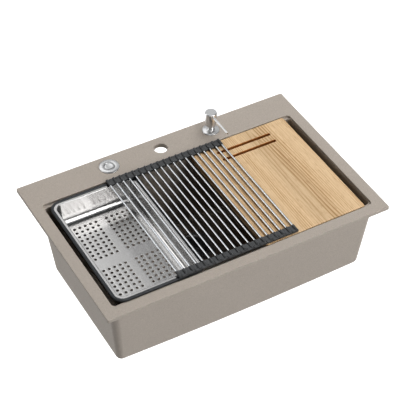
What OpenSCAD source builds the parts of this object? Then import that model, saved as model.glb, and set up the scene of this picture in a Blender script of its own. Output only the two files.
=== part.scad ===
// Granite kitchen sink with a slide-in colander, a roll-up drying rack, a
// cutting board, a soap dispenser, a waste push button and a basket waste.
// Frame: the worktop plane is z = 0, the centre of the worktop cut-out is the
// origin, x runs along the front edge, y points to the tap side, z points up.

/* [Deck] */
// Length of the granite deck along its front edge
deck_length = 760; // [640:5:900]
// Depth of the granite deck from front to rear
deck_depth = 500; // [440:5:560]
// Thickness of the deck at its outer edge
deck_thickness = 9; // [7:0.5:14]
// Radius of the four deck corners in plan
deck_corner_radius = 4; // [3.2:0.1:20]
// Bevel along every upper edge of the granite
granite_bevel = 2.2; // [0.6:0.1:3]
// Granite left between the bowl opening and the front edge
front_margin = 30; // [26:1:50]
// Granite left behind the bowl opening, for the row of fittings
rear_margin = 85; // [78:1:110]
// Granite left between the bowl opening and each end of the deck
side_margin = 30; // [26:1:60]
// Extra thickness below the deck where the fittings clamp
pad_drop = 3; // [1:0.5:8]
// Length of the thicker pad under the fittings
pad_length = 352; // [330:2:400]
// Width of the thicker pad under the fittings
pad_width = 54; // [50:1:58]

/* [Bowl] */
// Radius of the opening corners in plan
opening_corner_radius = 10; // [6:1:30]
// Height from the accessory ledge up to the deck surface
ledge_drop = 6; // [4:0.5:7.5]
// Width of the accessory ledge at the front and the rear
ledge_width = 9; // [6:0.5:14]
// Small set-back of the bowl walls below the ledge at both ends
side_step = 0.5; // [0.3:0.1:2]
// Height of the whole granite piece, deck surface to underside
body_height = 217; // [180:1:260]
// Thickness of the bowl floor
floor_thickness = 12; // [9:0.5:16]
// Granite outside the opening at the two ends of the bowl
end_wall = 8; // [6:0.5:18]
// Granite outside the opening at the front and the rear of the bowl
long_wall = 4.5; // [4:0.5:12]
// Inward lean of the bowl walls over the full height
wall_lean = 19; // [8:0.5:30]
// Radius of the upright bowl edges outside
outer_edge_radius = 20; // [12:1:40]
// Radius between the outside walls and the underside
outer_sole_radius = 15; // [10:1:30]
// Height the underside falls from both ends to its flat middle
sole_fall = 6; // [1:0.5:8]
// Radius of the upright bowl corners inside
inner_corner_radius = 14; // [10:1:40]
// Radius between the inside walls and the bowl floor
cove_radius = 14; // [8:1:30]
// Height the bowl floor falls from its corners to the waste
floor_fall = 3; // [1:0.5:8]

/* [Fitting holes] */
// Distance of the row of holes from the rear deck edge
hole_row_inset = 40; // [36:1:44]
// Distance between neighbouring holes in the row
hole_spacing = 145; // [130:1:150]
// Radius of the three holes in the deck
deck_hole_radius = 17.5; // [16:0.5:18]
// Bevel on the upper edge of the three holes
hole_bevel = 0.8; // [0.4:0.1:1.5]

/* [Basket waste] */
// Distance of the waste from the rear edge of the bowl opening
waste_inset = 120; // [108:1:180]
// Radius of the waste flange in the bowl floor
waste_flange_radius = 57; // [54:0.5:60]
// Thickness of the waste flange at its rim
waste_flange_thickness = 1.6; // [1:0.1:3]
// Drop of the dished flange from the rim to the cup mouth
waste_dish = 2.6; // [1:0.1:4]
// Radius of the waste cup inside
waste_cup_radius = 42; // [36:0.5:44]
// Wall thickness of the waste cup
waste_wall = 2; // [1.2:0.1:3]
// Depth of the waste cup below the bowl floor
waste_cup_depth = 40; // [34:1:60]
// Radius of the outlet below the cup, inside
outlet_radius = 20; // [16:0.5:22]
// Length of the outlet spigot below the cup
outlet_length = 30; // [26:1:44]
// Length of the cable gland on the side of the outlet
gland_length = 14; // [10:1:20]
// Thickness of the two waste gaskets
gasket_thickness = 1.6; // [1:0.1:3]
// Outer radius of the waste lock nut
waste_nut_radius = 60; // [54:0.5:64]
// Height of the waste lock nut
waste_nut_height = 12; // [8:0.5:20]
// Number of grip lugs round the lock nut
waste_nut_lugs = 8; // [6:1:12]
// Radius of the tail pipe outside
tail_radius = 20; // [16:0.5:22]
// Length of the tail pipe below its union nut
tail_length = 30; // [20:1:60]
// Radius of the union nut on the tail pipe
union_radius = 29; // [26:0.5:34]
// Height of the union nut
union_height = 18; // [14:1:26]

/* [Strainer basket] */
// Gap between the basket rim and the waste cup
basket_gap = 0.6; // [0.4:0.1:1.5]
// Radius of the basket at its bottom
basket_bottom_radius = 33; // [28:0.5:36]
// Sheet thickness of the basket
basket_sheet = 1.2; // [0.8:0.1:2]
// Width of the flat basket rim
basket_rim_width = 3; // [2:0.5:5]
// Radius of the drain holes in the basket
basket_hole_radius = 2; // [1:0.1:2.4]
// Drain holes in the inner ring of the basket floor
basket_inner_holes = 12; // [6:1:14]
// Drain holes in the outer ring of the basket floor
basket_outer_holes = 20; // [10:1:24]
// Radius of the basket knob
knob_radius = 11; // [8:0.5:14]
// Height of the basket knob above the basket floor
knob_height = 24; // [16:1:28]
// Radius of the basket stem in its guide
stem_radius = 4; // [3:0.5:6]
// Length of the basket stem below the basket floor
stem_length = 22; // [16:1:30]
// Thickness of the rubber seal under the basket
seal_thickness = 3; // [2:0.5:5]

/* [Push button] */
// Radius of the push button rose on the deck
rose_radius = 25.8; // [22:0.2:30]
// Height of the push button rose above the deck
rose_height = 3.6; // [2:0.2:6]
// Radius of the threaded shank under the rose
shank_radius = 16; // [14:0.5:17]
// Length of the threaded shank below the deck surface
shank_length = 46; // [36:1:60]
// Radius of the button that is pressed
button_radius = 13; // [10:0.5:14]
// Height of the dome on top of the button
button_dome = 1.6; // [0.8:0.2:3]
// Gap between the button and the rose
button_gap = 0.4; // [0.2:0.1:1]
// Radius of the button stem in its guide
button_stem_radius = 4; // [3:0.5:6]
// Radius of the cable inlet under the shank, and of the gland on the waste
inlet_radius = 4.5; // [3.5:0.5:5.5]
// Radius of the cable bore in the inlet and in the gland
cable_bore = 2.25; // [1.5:0.05:3]
// Length of the cable inlet under the shank
inlet_length = 12; // [8:1:20]
// Radius of the back nuts under the deck
back_nut_radius = 25; // [22:0.5:26]
// Height of the back nuts under the deck
back_nut_height = 8; // [6:0.5:14]

/* [Soap dispenser] */
// Radius of the dispenser collar on the deck
collar_radius = 22.4; // [20:0.2:26]
// Height of the collar dome above the deck
collar_height = 4; // [2:0.2:6]
// Radius of the neck that the pump head slides over
neck_radius = 9; // [8:0.2:10]
// Height of the neck above the deck
neck_height = 21; // [18:0.5:26]
// Height of the lower edge of the pump head above the deck
head_bottom = 17; // [15:0.5:20]
// Height of the top of the pump head above the deck
head_top = 59; // [52:0.5:68]
// Radius of the pump head
head_radius = 15.5; // [13:0.5:18]
// Radius of the pump head at its lower edge
head_foot_radius = 11; // [10.5:0.2:12]
// Height of the tapered foot of the pump head
head_taper = 12; // [8:0.5:16]
// Bevel on the upper edge of the pump head
head_bevel = 1.2; // [0.5:0.1:2]
// Gap between the pump head and the neck
head_gap = 0.5; // [0.4:0.1:1]
// Height of the spout axis above the deck
spout_height = 50; // [46:0.5:54]
// Radius of the spout outside
spout_radius = 2.6; // [2:0.1:4]
// Radius of the spout bore
spout_bore = 1.5; // [1:0.1:1.8]
// Reach of the spout from the pump axis
spout_reach = 83; // [60:1:90]
// Radius of the pump rod in the neck
rod_radius = 6; // [5:0.2:6.4]
// Radius of the rod pin inside the pump head
rod_pin_radius = 4; // [3:0.2:4.6]
// Radius of the dispenser shank outside
dispenser_shank_radius = 15; // [14:0.5:16]
// Length of the dispenser shank below the deck surface
dispenser_shank_length = 58; // [50:1:70]
// Radius of the soap bottle
bottle_radius = 27; // [24:0.5:27.5]
// Height of the soap bottle body
bottle_height = 105; // [80:1:130]
// Wall thickness of the soap bottle
bottle_wall = 1.8; // [1.2:0.1:3]
// Height of the bottle neck on the shank
bottle_neck = 26; // [18:1:28]
// Radius of the pump barrel inside the bottle
barrel_radius = 9; // [8.4:0.2:11]
// Length of the pump barrel
barrel_length = 62; // [56:1:80]

/* [Colander] */
// Length of the colander rim along the deck
rim_length = 237; // [200:1:260]
// Gap between the colander rim and the front edge of the opening
rim_front_gap = 6.6; // [2:0.1:7]
// Gap between the colander rim and the rear edge of the opening
rim_rear_gap = 3; // [2:0.1:7]
// Radius of the rim corners in plan
rim_corner_radius = 29; // [20:1:40]
// Width of the edge trim on the rim
trim_width = 7.8; // [7:0.2:12]
// Steel lip visible inside the edge trim
lip_width = 7; // [3:0.5:8]
// Gap between the left end of the opening and the rim
rim_left_gap = 12; // [4:0.5:20]
// Depth of the colander floor below the deck surface
colander_depth = 66; // [50:1:90]
// Sheet thickness of the colander
colander_sheet = 1.2; // [0.8:0.1:2]
// Radius between the colander walls and its floor
colander_cove = 18; // [10:1:26]
// Inward lean of the colander walls over their height
colander_lean = 2; // [1:0.5:6]
// Distance between neighbouring drain holes
hole_pitch = 14.5; // [13.5:0.1:15]
// Radius of the drain holes
drain_hole_radius = 3.5; // [2:0.1:4.5]
// Plain steel left between the drain holes and the cove round the floor
hole_margin = 5; // [3:0.5:20]

/* [Cutting board] */
// Length of the board along the deck
board_length = 278; // [240:1:300]
// Gap between the board and the opening, at the front and the rear
board_end_gap = 2; // [1:0.1:4]
// Thickness of the board
board_thickness = 18; // [14:0.5:24]
// Gap between the board and the right end of the opening
board_right_gap = 19; // [10:0.5:30]
// Radius of the board corners in plan
board_corner_radius = 5; // [3:0.5:12]
// Bevel on the upper edge of the board
board_bevel = 1; // [0.5:0.1:2]
// Set-back of the board underside from the ledges
board_rebate = 9; // [9:0.5:16]
// Length of the two slots in the board
slot_length = 155; // [120:1:180]
// Width of the two slots in the board
slot_width = 8; // [5:0.5:12]
// Distance of the first slot from the rear board edge
slot_inset = 40; // [30:0.5:60]
// Distance between the two slots
slot_spacing = 28.5; // [20:0.5:40]

/* [Roll-up rack] */
// Distance between neighbouring bars
bar_pitch = 17.44; // [16.5:0.02:18]
// Radius of the steel bars
bar_radius = 2.5; // [2:0.1:2.7]
// Distance of the first bar from the left end of the opening
first_bar_inset = 175.2; // [150:0.1:190]
// Distance of the rack's front end from the front edge of the opening
rack_front_gap = 5; // [1.5:0.1:7]
// Distance of the rack's rear end from the rear edge of the opening
rack_rear_gap = 1.5; // [1.5:0.1:7]
// Width of the linked end strips
strip_width = 21; // [18:0.5:26]
// Radius of the sleeve round each bar end
sleeve_radius = 3.8; // [3.6:0.1:4.4]
// Thickness of the flat web between two sleeves
web_thickness = 5; // [4:0.1:5.6]
// Gap between a web and the next sleeve
link_gap = 1; // [0.6:0.1:1.6]
// Length of each hinge eye along its bar
eye_length = 6.2; // [5:0.1:8]
// Material left outside the bar end in each eye
eye_cap = 1.2; // [0.8:0.1:2]

/* [Clearances] */
// Running clearance of a turning or sliding shaft in its bore
running_fit = 0.05; // [0.02:0.01:0.1]
// Clearance of a threaded part on its thread
thread_fit = 0.05; // [0.02:0.01:0.1]
// Height an accessory stands clear of the ledge
rest_gap = 0.2; // [0.1:0.05:0.4]
// Height the board and the trim stay below the deck surface
top_gap = 0.4; // [0.2:0.1:0.6]

/* [Hidden] */

$fn = 96;
soft_facets = 32;
bar_count = 19;
// Overrun of every cut, and how far joined solids reach into each other
cut = 1;
weld = 1;
// Small bevel on turned and moulded edges
edge_break = 1;

// Heights of the granite
deck_top = deck_thickness;
ledge_z = deck_top - ledge_drop;
sole_z = deck_top - body_height;
floor_z = sole_z + floor_thickness;
lean_share = wall_lean / body_height;

// Plan of the bowl
opening_length = deck_length - 2 * side_margin;
opening_depth = deck_depth - front_margin - rear_margin;
bowl_y = (front_margin - rear_margin) / 2;
outer_length = opening_length + 2 * end_wall;
outer_depth = opening_depth + 2 * long_wall;
inner_length = opening_length - 2 * side_step;
inner_depth = opening_depth - 2 * ledge_width;
inner_lean = lean_share * (ledge_z - floor_z);
sole_length = outer_length - 2 * wall_lean - 2 * outer_sole_radius;
sole_depth = outer_depth - 2 * wall_lean - 2 * outer_sole_radius;
sole_bend_share = 0.6;
sole_rise_share = 0.37;

// Row of fittings
row_y = deck_depth / 2 - hole_row_inset;
button_x = -hole_spacing;
dispenser_x = hole_spacing;
pad_bottom = -pad_drop;

// Waste: the flange lies just below the bowl floor, and its dish leads to the cup
flange_inset = 1;
seat_gap = 1;
gasket_fit = 0.05;
gasket_bore_gap = 2;
waste_offset = opening_depth / 2 - waste_inset;
waste_y = bowl_y + waste_offset;
flange_top_z = floor_z - flange_inset;
mouth_z = flange_top_z - waste_dish;
dish_bottom_z = mouth_z - waste_flange_thickness;
seat_z = dish_bottom_z - gasket_thickness;
cup_floor_z = floor_z - waste_cup_depth;
cup_outer = waste_cup_radius + waste_wall;
dish_slope = waste_dish / (waste_flange_radius - cup_outer);
outlet_wall = 3;
outlet_outer = outlet_radius + outlet_wall;
outlet_end_z = cup_floor_z - waste_wall - outlet_length;
gland_z = cup_floor_z - waste_wall - inlet_radius - edge_break;
gasket_bore = cup_outer + gasket_bore_gap;
gasket_outer = waste_flange_radius - seat_gap;
nut_top_z = sole_z - gasket_thickness;
lock_nut_wall = 6;
lock_nut_brim = 4;
lug_width = 4;
flat_length = 2 * (waste_nut_radius + 2 * lug_width);
union_floor = 3;
union_lug = 1;
union_top_z = outlet_end_z + union_height - union_floor - gasket_fit;

// Strainer basket
basket_floor_z = cup_floor_z + seal_thickness + rest_gap;
basket_rim_radius = waste_cup_radius - basket_gap;
basket_rim_z = mouth_z - basket_sheet - rest_gap;
guide_radius = stem_radius + running_fit;
guide_height = 8;
guide_spokes = 3;
knob_waist = 8;
inner_ring_share = 0.5;
outer_ring_share = 0.8;
inner_ring_radius = basket_bottom_radius * inner_ring_share;
outer_ring_radius = basket_bottom_radius * outer_ring_share;

// Push button
button_travel_room = 9;
rose_crest_share = 0.74;
button_crown_share = 0.2;
deck_gap = 0.1;
rose_edge = 0.5;
housing_floor = 2;
stem_overhang = 2;
shank_bottom_z = deck_top - shank_length;
well_radius = button_radius + button_gap;
button_top_z = deck_top + rose_height - button_gap;
button_skirt = 6;
guide_top_z = button_top_z - button_skirt - button_travel_room;
guide_length = 8;
stem_end_z = guide_top_z - guide_length - stem_overhang;
well_floor_z = shank_bottom_z + housing_floor;

// Back nuts
back_nut_lugs = 6;
nut_step = 2;
nut_lug_width = 2;
nut_lug_reach = 0.4;
nut_top_gap = 0.2;

// Dispenser
pump_travel_room = 13;
shank_bore_gap = 2;
neck_foot = 2;
neck_edge = 0.5;
neck_top_z = deck_top + neck_height;
head_bottom_z = deck_top + head_bottom;
head_top_z = deck_top + head_top;
cavity_top_z = neck_top_z + pump_travel_room;
spout_z = deck_top + spout_height;
pin_cover = 1;
pin_gap = 0.2;
rod_top_z = spout_z - spout_radius - pin_cover;
shank_end_z = deck_top - dispenser_shank_length;
bottle_top_z = shank_end_z + bottle_neck;
barrel_inset = 10;
barrel_top_z = deck_top - barrel_inset;
barrel_flange = 2;
shank_bore = barrel_radius + shank_bore_gap;
barrel_gap = 0.2;
shank_roof_z = barrel_top_z + barrel_gap;
piston_radius = barrel_radius - bottle_wall - running_fit;
piston_height = 4;
rod_end_z = barrel_top_z - barrel_length / 2;
tube_radius = 3.2;
tube_end_z = shank_end_z - bottle_height + 4 * bottle_wall;
bottle_bore = dispenser_shank_radius + thread_fit;
bottle_shoulder_z = shank_end_z - 5 * bottle_wall;
bottle_foot_z = shank_end_z - bottle_height;

// Colander
rim_x = -opening_length / 2 + rim_left_gap + rim_length / 2;
rim_y = bowl_y + (rim_front_gap - rim_rear_gap) / 2;
rim_depth = opening_depth - rim_front_gap - rim_rear_gap;
trim_top_z = deck_top - top_gap;
trim_bottom_z = ledge_z + rest_gap;
trim_foot = 2;
trim_side = 1.2;
trim_crown = 1;
trim_overlap_share = 0.6;
trim_slope_share = 0.35;
trim_slope = trim_width * trim_slope_share;
pan_rim_z = trim_bottom_z + trim_foot;
pan_length = rim_length - 2 * (trim_width + lip_width);
pan_depth = rim_depth - 2 * (trim_width + lip_width);
pan_corner = rim_corner_radius - trim_width / 2 - lip_width;
pan_floor_z = deck_top - colander_depth;
trim_overlap = trim_width * trim_overlap_share;
flange_length = rim_length - 2 * (trim_width - trim_overlap);
flange_depth = rim_depth - 2 * (trim_width - trim_overlap);
flange_corner = rim_corner_radius - trim_width + trim_overlap;
trim_fit = 0.05;
group_gap_x = 2 * hole_pitch;
group_gap_y = 3 * hole_pitch;
plain_edge = colander_lean + colander_cove + hole_margin;
columns_per_group = 1 + floor((pan_length / 2 - plain_edge - group_gap_x / 2) / hole_pitch);
rows_per_group = 1 + floor((pan_depth / 2 - plain_edge - group_gap_y / 2) / hole_pitch);

// Board
board_depth = opening_depth - 2 * board_end_gap;
board_x = opening_length / 2 - board_right_gap - board_length / 2;
board_top_z = deck_top - top_gap;
board_bottom_z = board_top_z - board_thickness;
tongue_bottom_z = ledge_z + rest_gap;
first_slot_y = board_depth / 2 - slot_inset;

// Rack
first_bar_x = -opening_length / 2 + first_bar_inset;
bar_z = deck_top + sleeve_radius;
rack_y = bowl_y + (rack_front_gap - rack_rear_gap) / 2;
rack_depth = opening_depth - rack_front_gap - rack_rear_gap;
bar_length = rack_depth - 2 * eye_cap - 2 * running_fit;
eye_bore = bar_radius + running_fit;
sleeve_length = strip_width - eye_length - rest_gap * 2;
web_rise_share = 0.32;
web_top_z = bar_z + web_thickness * web_rise_share;
web_bottom_z = web_top_z - web_thickness;

// A rounded rectangle with true arcs, centred on the origin
module plan(length, depth, radius) {
    square([length - 2 * radius, depth], center = true);
    square([length, depth - 2 * radius], center = true);
    for (sx = [-1, 1])
        for (sy = [-1, 1])
            translate([sx * (length / 2 - radius), sy * (depth / 2 - radius)])
                circle(r = radius);
}

module slab(length, depth, radius, height) {
    linear_extrude(height = height)
        plan(length, depth, radius);
}

// Four equal bodies at the corners of a rectangle
module corners(length, depth) {
    for (sx = [-1, 1])
        for (sy = [-1, 1])
            translate([sx * length / 2, sy * depth / 2, 0])
                children();
}

module tube(outer, inner, height) {
    difference() {
        cylinder(r = outer, h = height);
        translate([0, 0, -cut])
            cylinder(r = inner, h = height + 2 * cut);
    }
}

module deck_slab() {
    hull() {
        slab(deck_length, deck_depth, deck_corner_radius, deck_top - granite_bevel, $fn = soft_facets);
        slab(deck_length - 2 * granite_bevel, deck_depth - 2 * granite_bevel,
            deck_corner_radius - granite_bevel, deck_top, $fn = soft_facets);
    }
}

// The underside is flat round the waste and rises towards both ends
module bowl_outside() {
    hull() {
        corners(outer_length - 2 * outer_edge_radius, outer_depth - 2 * outer_edge_radius)
            cylinder(r = outer_edge_radius, h = weld, $fn = soft_facets);
        for (step = [[flat_length, 0], [sole_length * sole_bend_share, sole_fall * sole_rise_share],
                [sole_length, sole_fall]])
            translate([0, 0, sole_z + outer_sole_radius + step[1]])
                corners(step[0], sole_depth)
                    sphere(r = outer_sole_radius, $fn = soft_facets);
    }
}

module bowl_inside() {
    hull() {
        translate([0, 0, ledge_z - weld])
            corners(inner_length - 2 * inner_corner_radius, inner_depth - 2 * inner_corner_radius)
                cylinder(r = inner_corner_radius, h = weld + cut, $fn = soft_facets);
        translate([0, 0, floor_z + floor_fall + cove_radius])
            corners(inner_length - 2 * inner_lean - 2 * cove_radius,
                inner_depth - 2 * inner_lean - 2 * cove_radius)
                sphere(r = cove_radius, $fn = soft_facets);
        translate([0, waste_offset, floor_z])
            cylinder(r = waste_flange_radius + seat_gap + weld, h = weld, $fn = soft_facets);
    }
}

module opening_bevel() {
    hull() {
        translate([0, 0, deck_top - granite_bevel])
            slab(opening_length, opening_depth, opening_corner_radius, weld, $fn = soft_facets);
        translate([0, 0, deck_top])
            slab(opening_length + 2 * granite_bevel, opening_depth + 2 * granite_bevel,
                opening_corner_radius + granite_bevel, cut, $fn = soft_facets);
    }
}

module deck_hole() {
    translate([0, 0, pad_bottom - cut])
        cylinder(r = deck_hole_radius, h = deck_top - pad_bottom + 2 * cut);
    translate([0, 0, deck_top - hole_bevel])
        cylinder(r1 = deck_hole_radius, r2 = deck_hole_radius + 2 * hole_bevel, h = 2 * hole_bevel);
}

module sink_body() {
    color("#A59C92")
        difference() {
            union() {
                deck_slab();
                translate([0, bowl_y, 0])
                    bowl_outside();
                translate([0, row_y, pad_bottom])
                    slab(pad_length, pad_width, deck_corner_radius, pad_drop + weld);
            }
            translate([0, bowl_y, 0]) {
                bowl_inside();
                translate([0, 0, ledge_z])
                    slab(opening_length, opening_depth, opening_corner_radius, ledge_drop + cut);
                opening_bevel();
            }
            for (x = [button_x, 0, dispenser_x])
                translate([x, row_y, 0])
                    deck_hole();
            translate([0, waste_y, seat_z])
                cylinder(r = waste_flange_radius + seat_gap, h = body_height / 2);
            translate([0, waste_y, sole_z - cut])
                cylinder(r = cup_outer + seat_gap, h = body_height / 2);
        }
}

module waste_shell() {
    rotate_extrude()
        polygon([
            [waste_flange_radius, flange_top_z - waste_flange_thickness],
            [waste_flange_radius, flange_top_z],
            [cup_outer, mouth_z],
            [waste_cup_radius, mouth_z - waste_wall],
            [waste_cup_radius, cup_floor_z],
            [outlet_radius, cup_floor_z],
            [outlet_radius, outlet_end_z],
            [outlet_outer, outlet_end_z],
            [outlet_outer, cup_floor_z - waste_wall],
            [cup_outer, cup_floor_z - waste_wall],
            [cup_outer, dish_bottom_z]
        ]);
}

// Ring on spokes that guides the stem of the strainer basket
module stem_guide() {
    difference() {
        union() {
            cylinder(r = stem_radius + waste_wall, h = guide_height);
            for (i = [0:guide_spokes - 1])
                rotate(i * 360 / guide_spokes)
                    translate([0, -waste_wall / 2, 0])
                        cube([outlet_radius + waste_wall, waste_wall, guide_height / 2]);
        }
        translate([0, 0, -cut])
            cylinder(r = guide_radius, h = guide_height + 2 * cut);
    }
}

// Dished flange, cup and outlet, with the gland of the button's cable
module waste_body() {
    color("#B9BCBF")
        translate([0, waste_y, 0])
            difference() {
                union() {
                    waste_shell();
                    translate([0, 0, cup_floor_z - guide_height])
                        stem_guide();
                    translate([-outlet_radius - waste_wall, 0, gland_z])
                        rotate([0, -90, 0])
                            cylinder(r = inlet_radius, h = outlet_wall - waste_wall + gland_length);
                }
                translate([-outlet_radius + waste_wall, 0, gland_z])
                    rotate([0, -90, 0])
                        cylinder(r = cable_bore, h = outlet_outer + gland_length);
            }
}

// Its upper face follows the dish of the flange
module waste_top_gasket() {
    color("#2B2B2B")
        translate([0, waste_y, 0])
            rotate_extrude()
                polygon([
                    [gasket_bore, seat_z + gasket_fit],
                    [gasket_outer, seat_z + gasket_fit],
                    [gasket_outer, dish_bottom_z + dish_slope * (gasket_outer - cup_outer) - gasket_fit],
                    [gasket_bore, dish_bottom_z + dish_slope * (gasket_bore - cup_outer) - gasket_fit]
                ]);
}

module waste_under_gasket() {
    color("#2B2B2B")
        translate([0, waste_y, nut_top_z + gasket_fit])
            tube(waste_nut_radius - edge_break, gasket_bore, gasket_thickness - 2 * gasket_fit);
}

module waste_lock_nut() {
    color("#D8D8D4")
        translate([0, waste_y, nut_top_z - waste_nut_height])
            difference() {
                union() {
                    cylinder(r = cup_outer + lock_nut_wall, h = waste_nut_height);
                    translate([0, 0, waste_nut_height - lock_nut_brim])
                        cylinder(r = waste_nut_radius, h = lock_nut_brim);
                    for (i = [0:waste_nut_lugs - 1])
                        rotate(i * 360 / waste_nut_lugs)
                            translate([cup_outer + thread_fit + weld, -lug_width / 2, 0])
                                cube([waste_nut_radius - cup_outer - thread_fit - weld - edge_break,
                                    lug_width, waste_nut_height - weld]);
                }
                translate([0, 0, -cut])
                    cylinder(r = cup_outer + thread_fit, h = waste_nut_height + 2 * cut);
            }
}

// Union nut and tail pipe that carry the water on
module waste_tail() {
    color("#E6E6E2")
        translate([0, waste_y, union_top_z - union_height])
            difference() {
                union() {
                    cylinder(r = union_radius, h = union_height);
                    for (i = [0:waste_nut_lugs - 1])
                        rotate(i * 360 / waste_nut_lugs)
                            translate([union_radius - weld, -lug_width / 2, 0])
                                cube([weld + union_lug, lug_width, union_height - edge_break]);
                    translate([0, 0, -tail_length])
                        cylinder(r = tail_radius, h = tail_length + weld);
                }
                translate([0, 0, union_floor])
                    cylinder(r = outlet_outer + thread_fit, h = union_height);
                translate([0, 0, -tail_length - cut])
                    cylinder(r = tail_radius - waste_wall, h = tail_length + union_height);
            }
}

// Perforated cup with a knob on top and a stem below
module strainer_basket() {
    color("#8E9194")
        translate([0, waste_y, 0])
            difference() {
                union() {
                    rotate_extrude()
                        polygon([
                            [0, basket_floor_z],
                            [basket_bottom_radius, basket_floor_z],
                            [basket_rim_radius - basket_rim_width, basket_rim_z - basket_sheet],
                            [basket_rim_radius, basket_rim_z - basket_sheet],
                            [basket_rim_radius, basket_rim_z],
                            [basket_rim_radius - basket_rim_width - basket_sheet, basket_rim_z],
                            [basket_bottom_radius - basket_sheet, basket_floor_z + basket_sheet],
                            [stem_radius, basket_floor_z + basket_sheet],
                            [stem_radius, basket_floor_z + knob_height - knob_waist],
                            [knob_radius - edge_break, basket_floor_z + knob_height - knob_waist],
                            [knob_radius, basket_floor_z + knob_height - knob_waist + edge_break],
                            [knob_radius, basket_floor_z + knob_height - edge_break],
                            [knob_radius - edge_break, basket_floor_z + knob_height],
                            [0, basket_floor_z + knob_height]
                        ]);
                    translate([0, 0, basket_floor_z - stem_length])
                        cylinder(r = stem_radius, h = stem_length + basket_sheet);
                }
                for (i = [0:basket_inner_holes - 1])
                    rotate(i * 360 / basket_inner_holes)
                        translate([inner_ring_radius, 0, basket_floor_z - cut])
                            cylinder(r = basket_hole_radius, h = basket_sheet + 2 * cut);
                for (i = [0:basket_outer_holes - 1])
                    rotate(i * 360 / basket_outer_holes)
                        translate([outer_ring_radius, 0, basket_floor_z - cut])
                            cylinder(r = basket_hole_radius, h = basket_sheet + 2 * cut);
            }
}

module basket_seal() {
    color("#1F1F1F")
        translate([0, waste_y, basket_floor_z - seal_thickness])
            tube(outlet_radius + 2 * waste_wall, stem_radius + running_fit, seal_thickness);
}

// Domed rose, threaded shank and cable inlet of the waste push button
module button_housing() {
    color("#C9CCCF")
        translate([button_x, row_y, 0])
            rotate_extrude()
                polygon([
                    [well_radius, deck_top + rose_height - button_skirt / 2],
                    [well_radius + edge_break, deck_top + rose_height - edge_break],
                    [rose_radius * rose_crest_share, deck_top + rose_height],
                    [rose_radius - edge_break, deck_top + edge_break],
                    [rose_radius, deck_top + rose_edge],
                    [rose_radius, deck_top + deck_gap],
                    [shank_radius, deck_top + deck_gap],
                    [shank_radius, shank_bottom_z],
                    [inlet_radius, shank_bottom_z],
                    [inlet_radius, shank_bottom_z - inlet_length],
                    [cable_bore, shank_bottom_z - inlet_length],
                    [cable_bore, well_floor_z],
                    [well_radius, well_floor_z],
                    [well_radius, guide_top_z - guide_length],
                    [button_stem_radius + running_fit, guide_top_z - guide_length],
                    [button_stem_radius + running_fit, guide_top_z],
                    [well_radius, guide_top_z]
                ]);
}

module back_nut(bore) {
    difference() {
        union() {
            cylinder(r = back_nut_radius, h = back_nut_height / 2);
            translate([0, 0, back_nut_height / 2])
                cylinder(r = back_nut_radius - nut_step, h = back_nut_height / 2);
            for (i = [0:back_nut_lugs - 1])
                rotate(i * 360 / back_nut_lugs)
                    translate([back_nut_radius - nut_step - weld, -nut_lug_width / 2, 0])
                        cube([weld + nut_step + nut_lug_reach, nut_lug_width, back_nut_height - edge_break]);
        }
        translate([0, 0, -cut])
            cylinder(r = bore, h = back_nut_height + 2 * cut);
    }
}

module button_nut() {
    color("#3A3A3A")
        translate([button_x, row_y, pad_bottom - nut_top_gap - back_nut_height])
            back_nut(shank_radius + thread_fit);
}

// The button that is pressed, with its guided stem
module button_cap() {
    color("#D5D8DA")
        translate([button_x, row_y, 0])
            rotate_extrude()
                polygon([
                    [0, button_top_z],
                    [button_radius / 2, button_top_z - button_dome * button_crown_share],
                    [button_radius - edge_break, button_top_z - button_dome],
                    [button_radius, button_top_z - button_dome - edge_break],
                    [button_radius, button_top_z - button_skirt],
                    [button_stem_radius, button_top_z - button_skirt],
                    [button_stem_radius, stem_end_z],
                    [0, stem_end_z]
                ]);
}

// Domed collar, neck and threaded shank of the soap dispenser
module dispenser_collar() {
    color("#C9CCCF")
        translate([dispenser_x, row_y, 0])
            rotate_extrude()
                polygon([
                    [collar_radius, deck_top + deck_gap],
                    [collar_radius, deck_top + edge_break],
                    [collar_radius - edge_break, deck_top + collar_height / 2],
                    [neck_radius + neck_foot, deck_top + collar_height],
                    [neck_radius, deck_top + collar_height + neck_foot / 2],
                    [neck_radius, neck_top_z - neck_edge],
                    [neck_radius - neck_edge, neck_top_z],
                    [rod_radius + running_fit, neck_top_z],
                    [rod_radius + running_fit, shank_roof_z],
                    [shank_bore, shank_roof_z],
                    [shank_bore, shank_end_z],
                    [dispenser_shank_radius, shank_end_z],
                    [dispenser_shank_radius, deck_top + deck_gap]
                ]);
}

module dispenser_nut() {
    color("#3A3A3A")
        translate([dispenser_x, row_y, pad_bottom - nut_top_gap - back_nut_height])
            back_nut(dispenser_shank_radius + thread_fit);
}

module soap_bottle() {
    color("#E9E9E6")
        translate([dispenser_x, row_y, 0])
            rotate_extrude()
                polygon([
                    [bottle_bore, bottle_top_z],
                    [bottle_bore + 2 * bottle_wall, bottle_top_z],
                    [bottle_bore + 2 * bottle_wall, shank_end_z],
                    [bottle_radius - 2 * bottle_wall, shank_end_z - 2 * bottle_wall],
                    [bottle_radius, bottle_shoulder_z],
                    [bottle_radius, bottle_foot_z + bottle_wall],
                    [bottle_radius - bottle_wall, bottle_foot_z],
                    [0, bottle_foot_z],
                    [0, bottle_foot_z + bottle_wall],
                    [bottle_radius - bottle_wall, bottle_foot_z + bottle_wall],
                    [bottle_radius - bottle_wall, bottle_shoulder_z],
                    [bottle_bore - bottle_wall, shank_end_z - bottle_wall],
                    [bottle_bore - bottle_wall, shank_end_z - nut_top_gap],
                    [bottle_bore, shank_end_z - nut_top_gap]
                ]);
}

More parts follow.
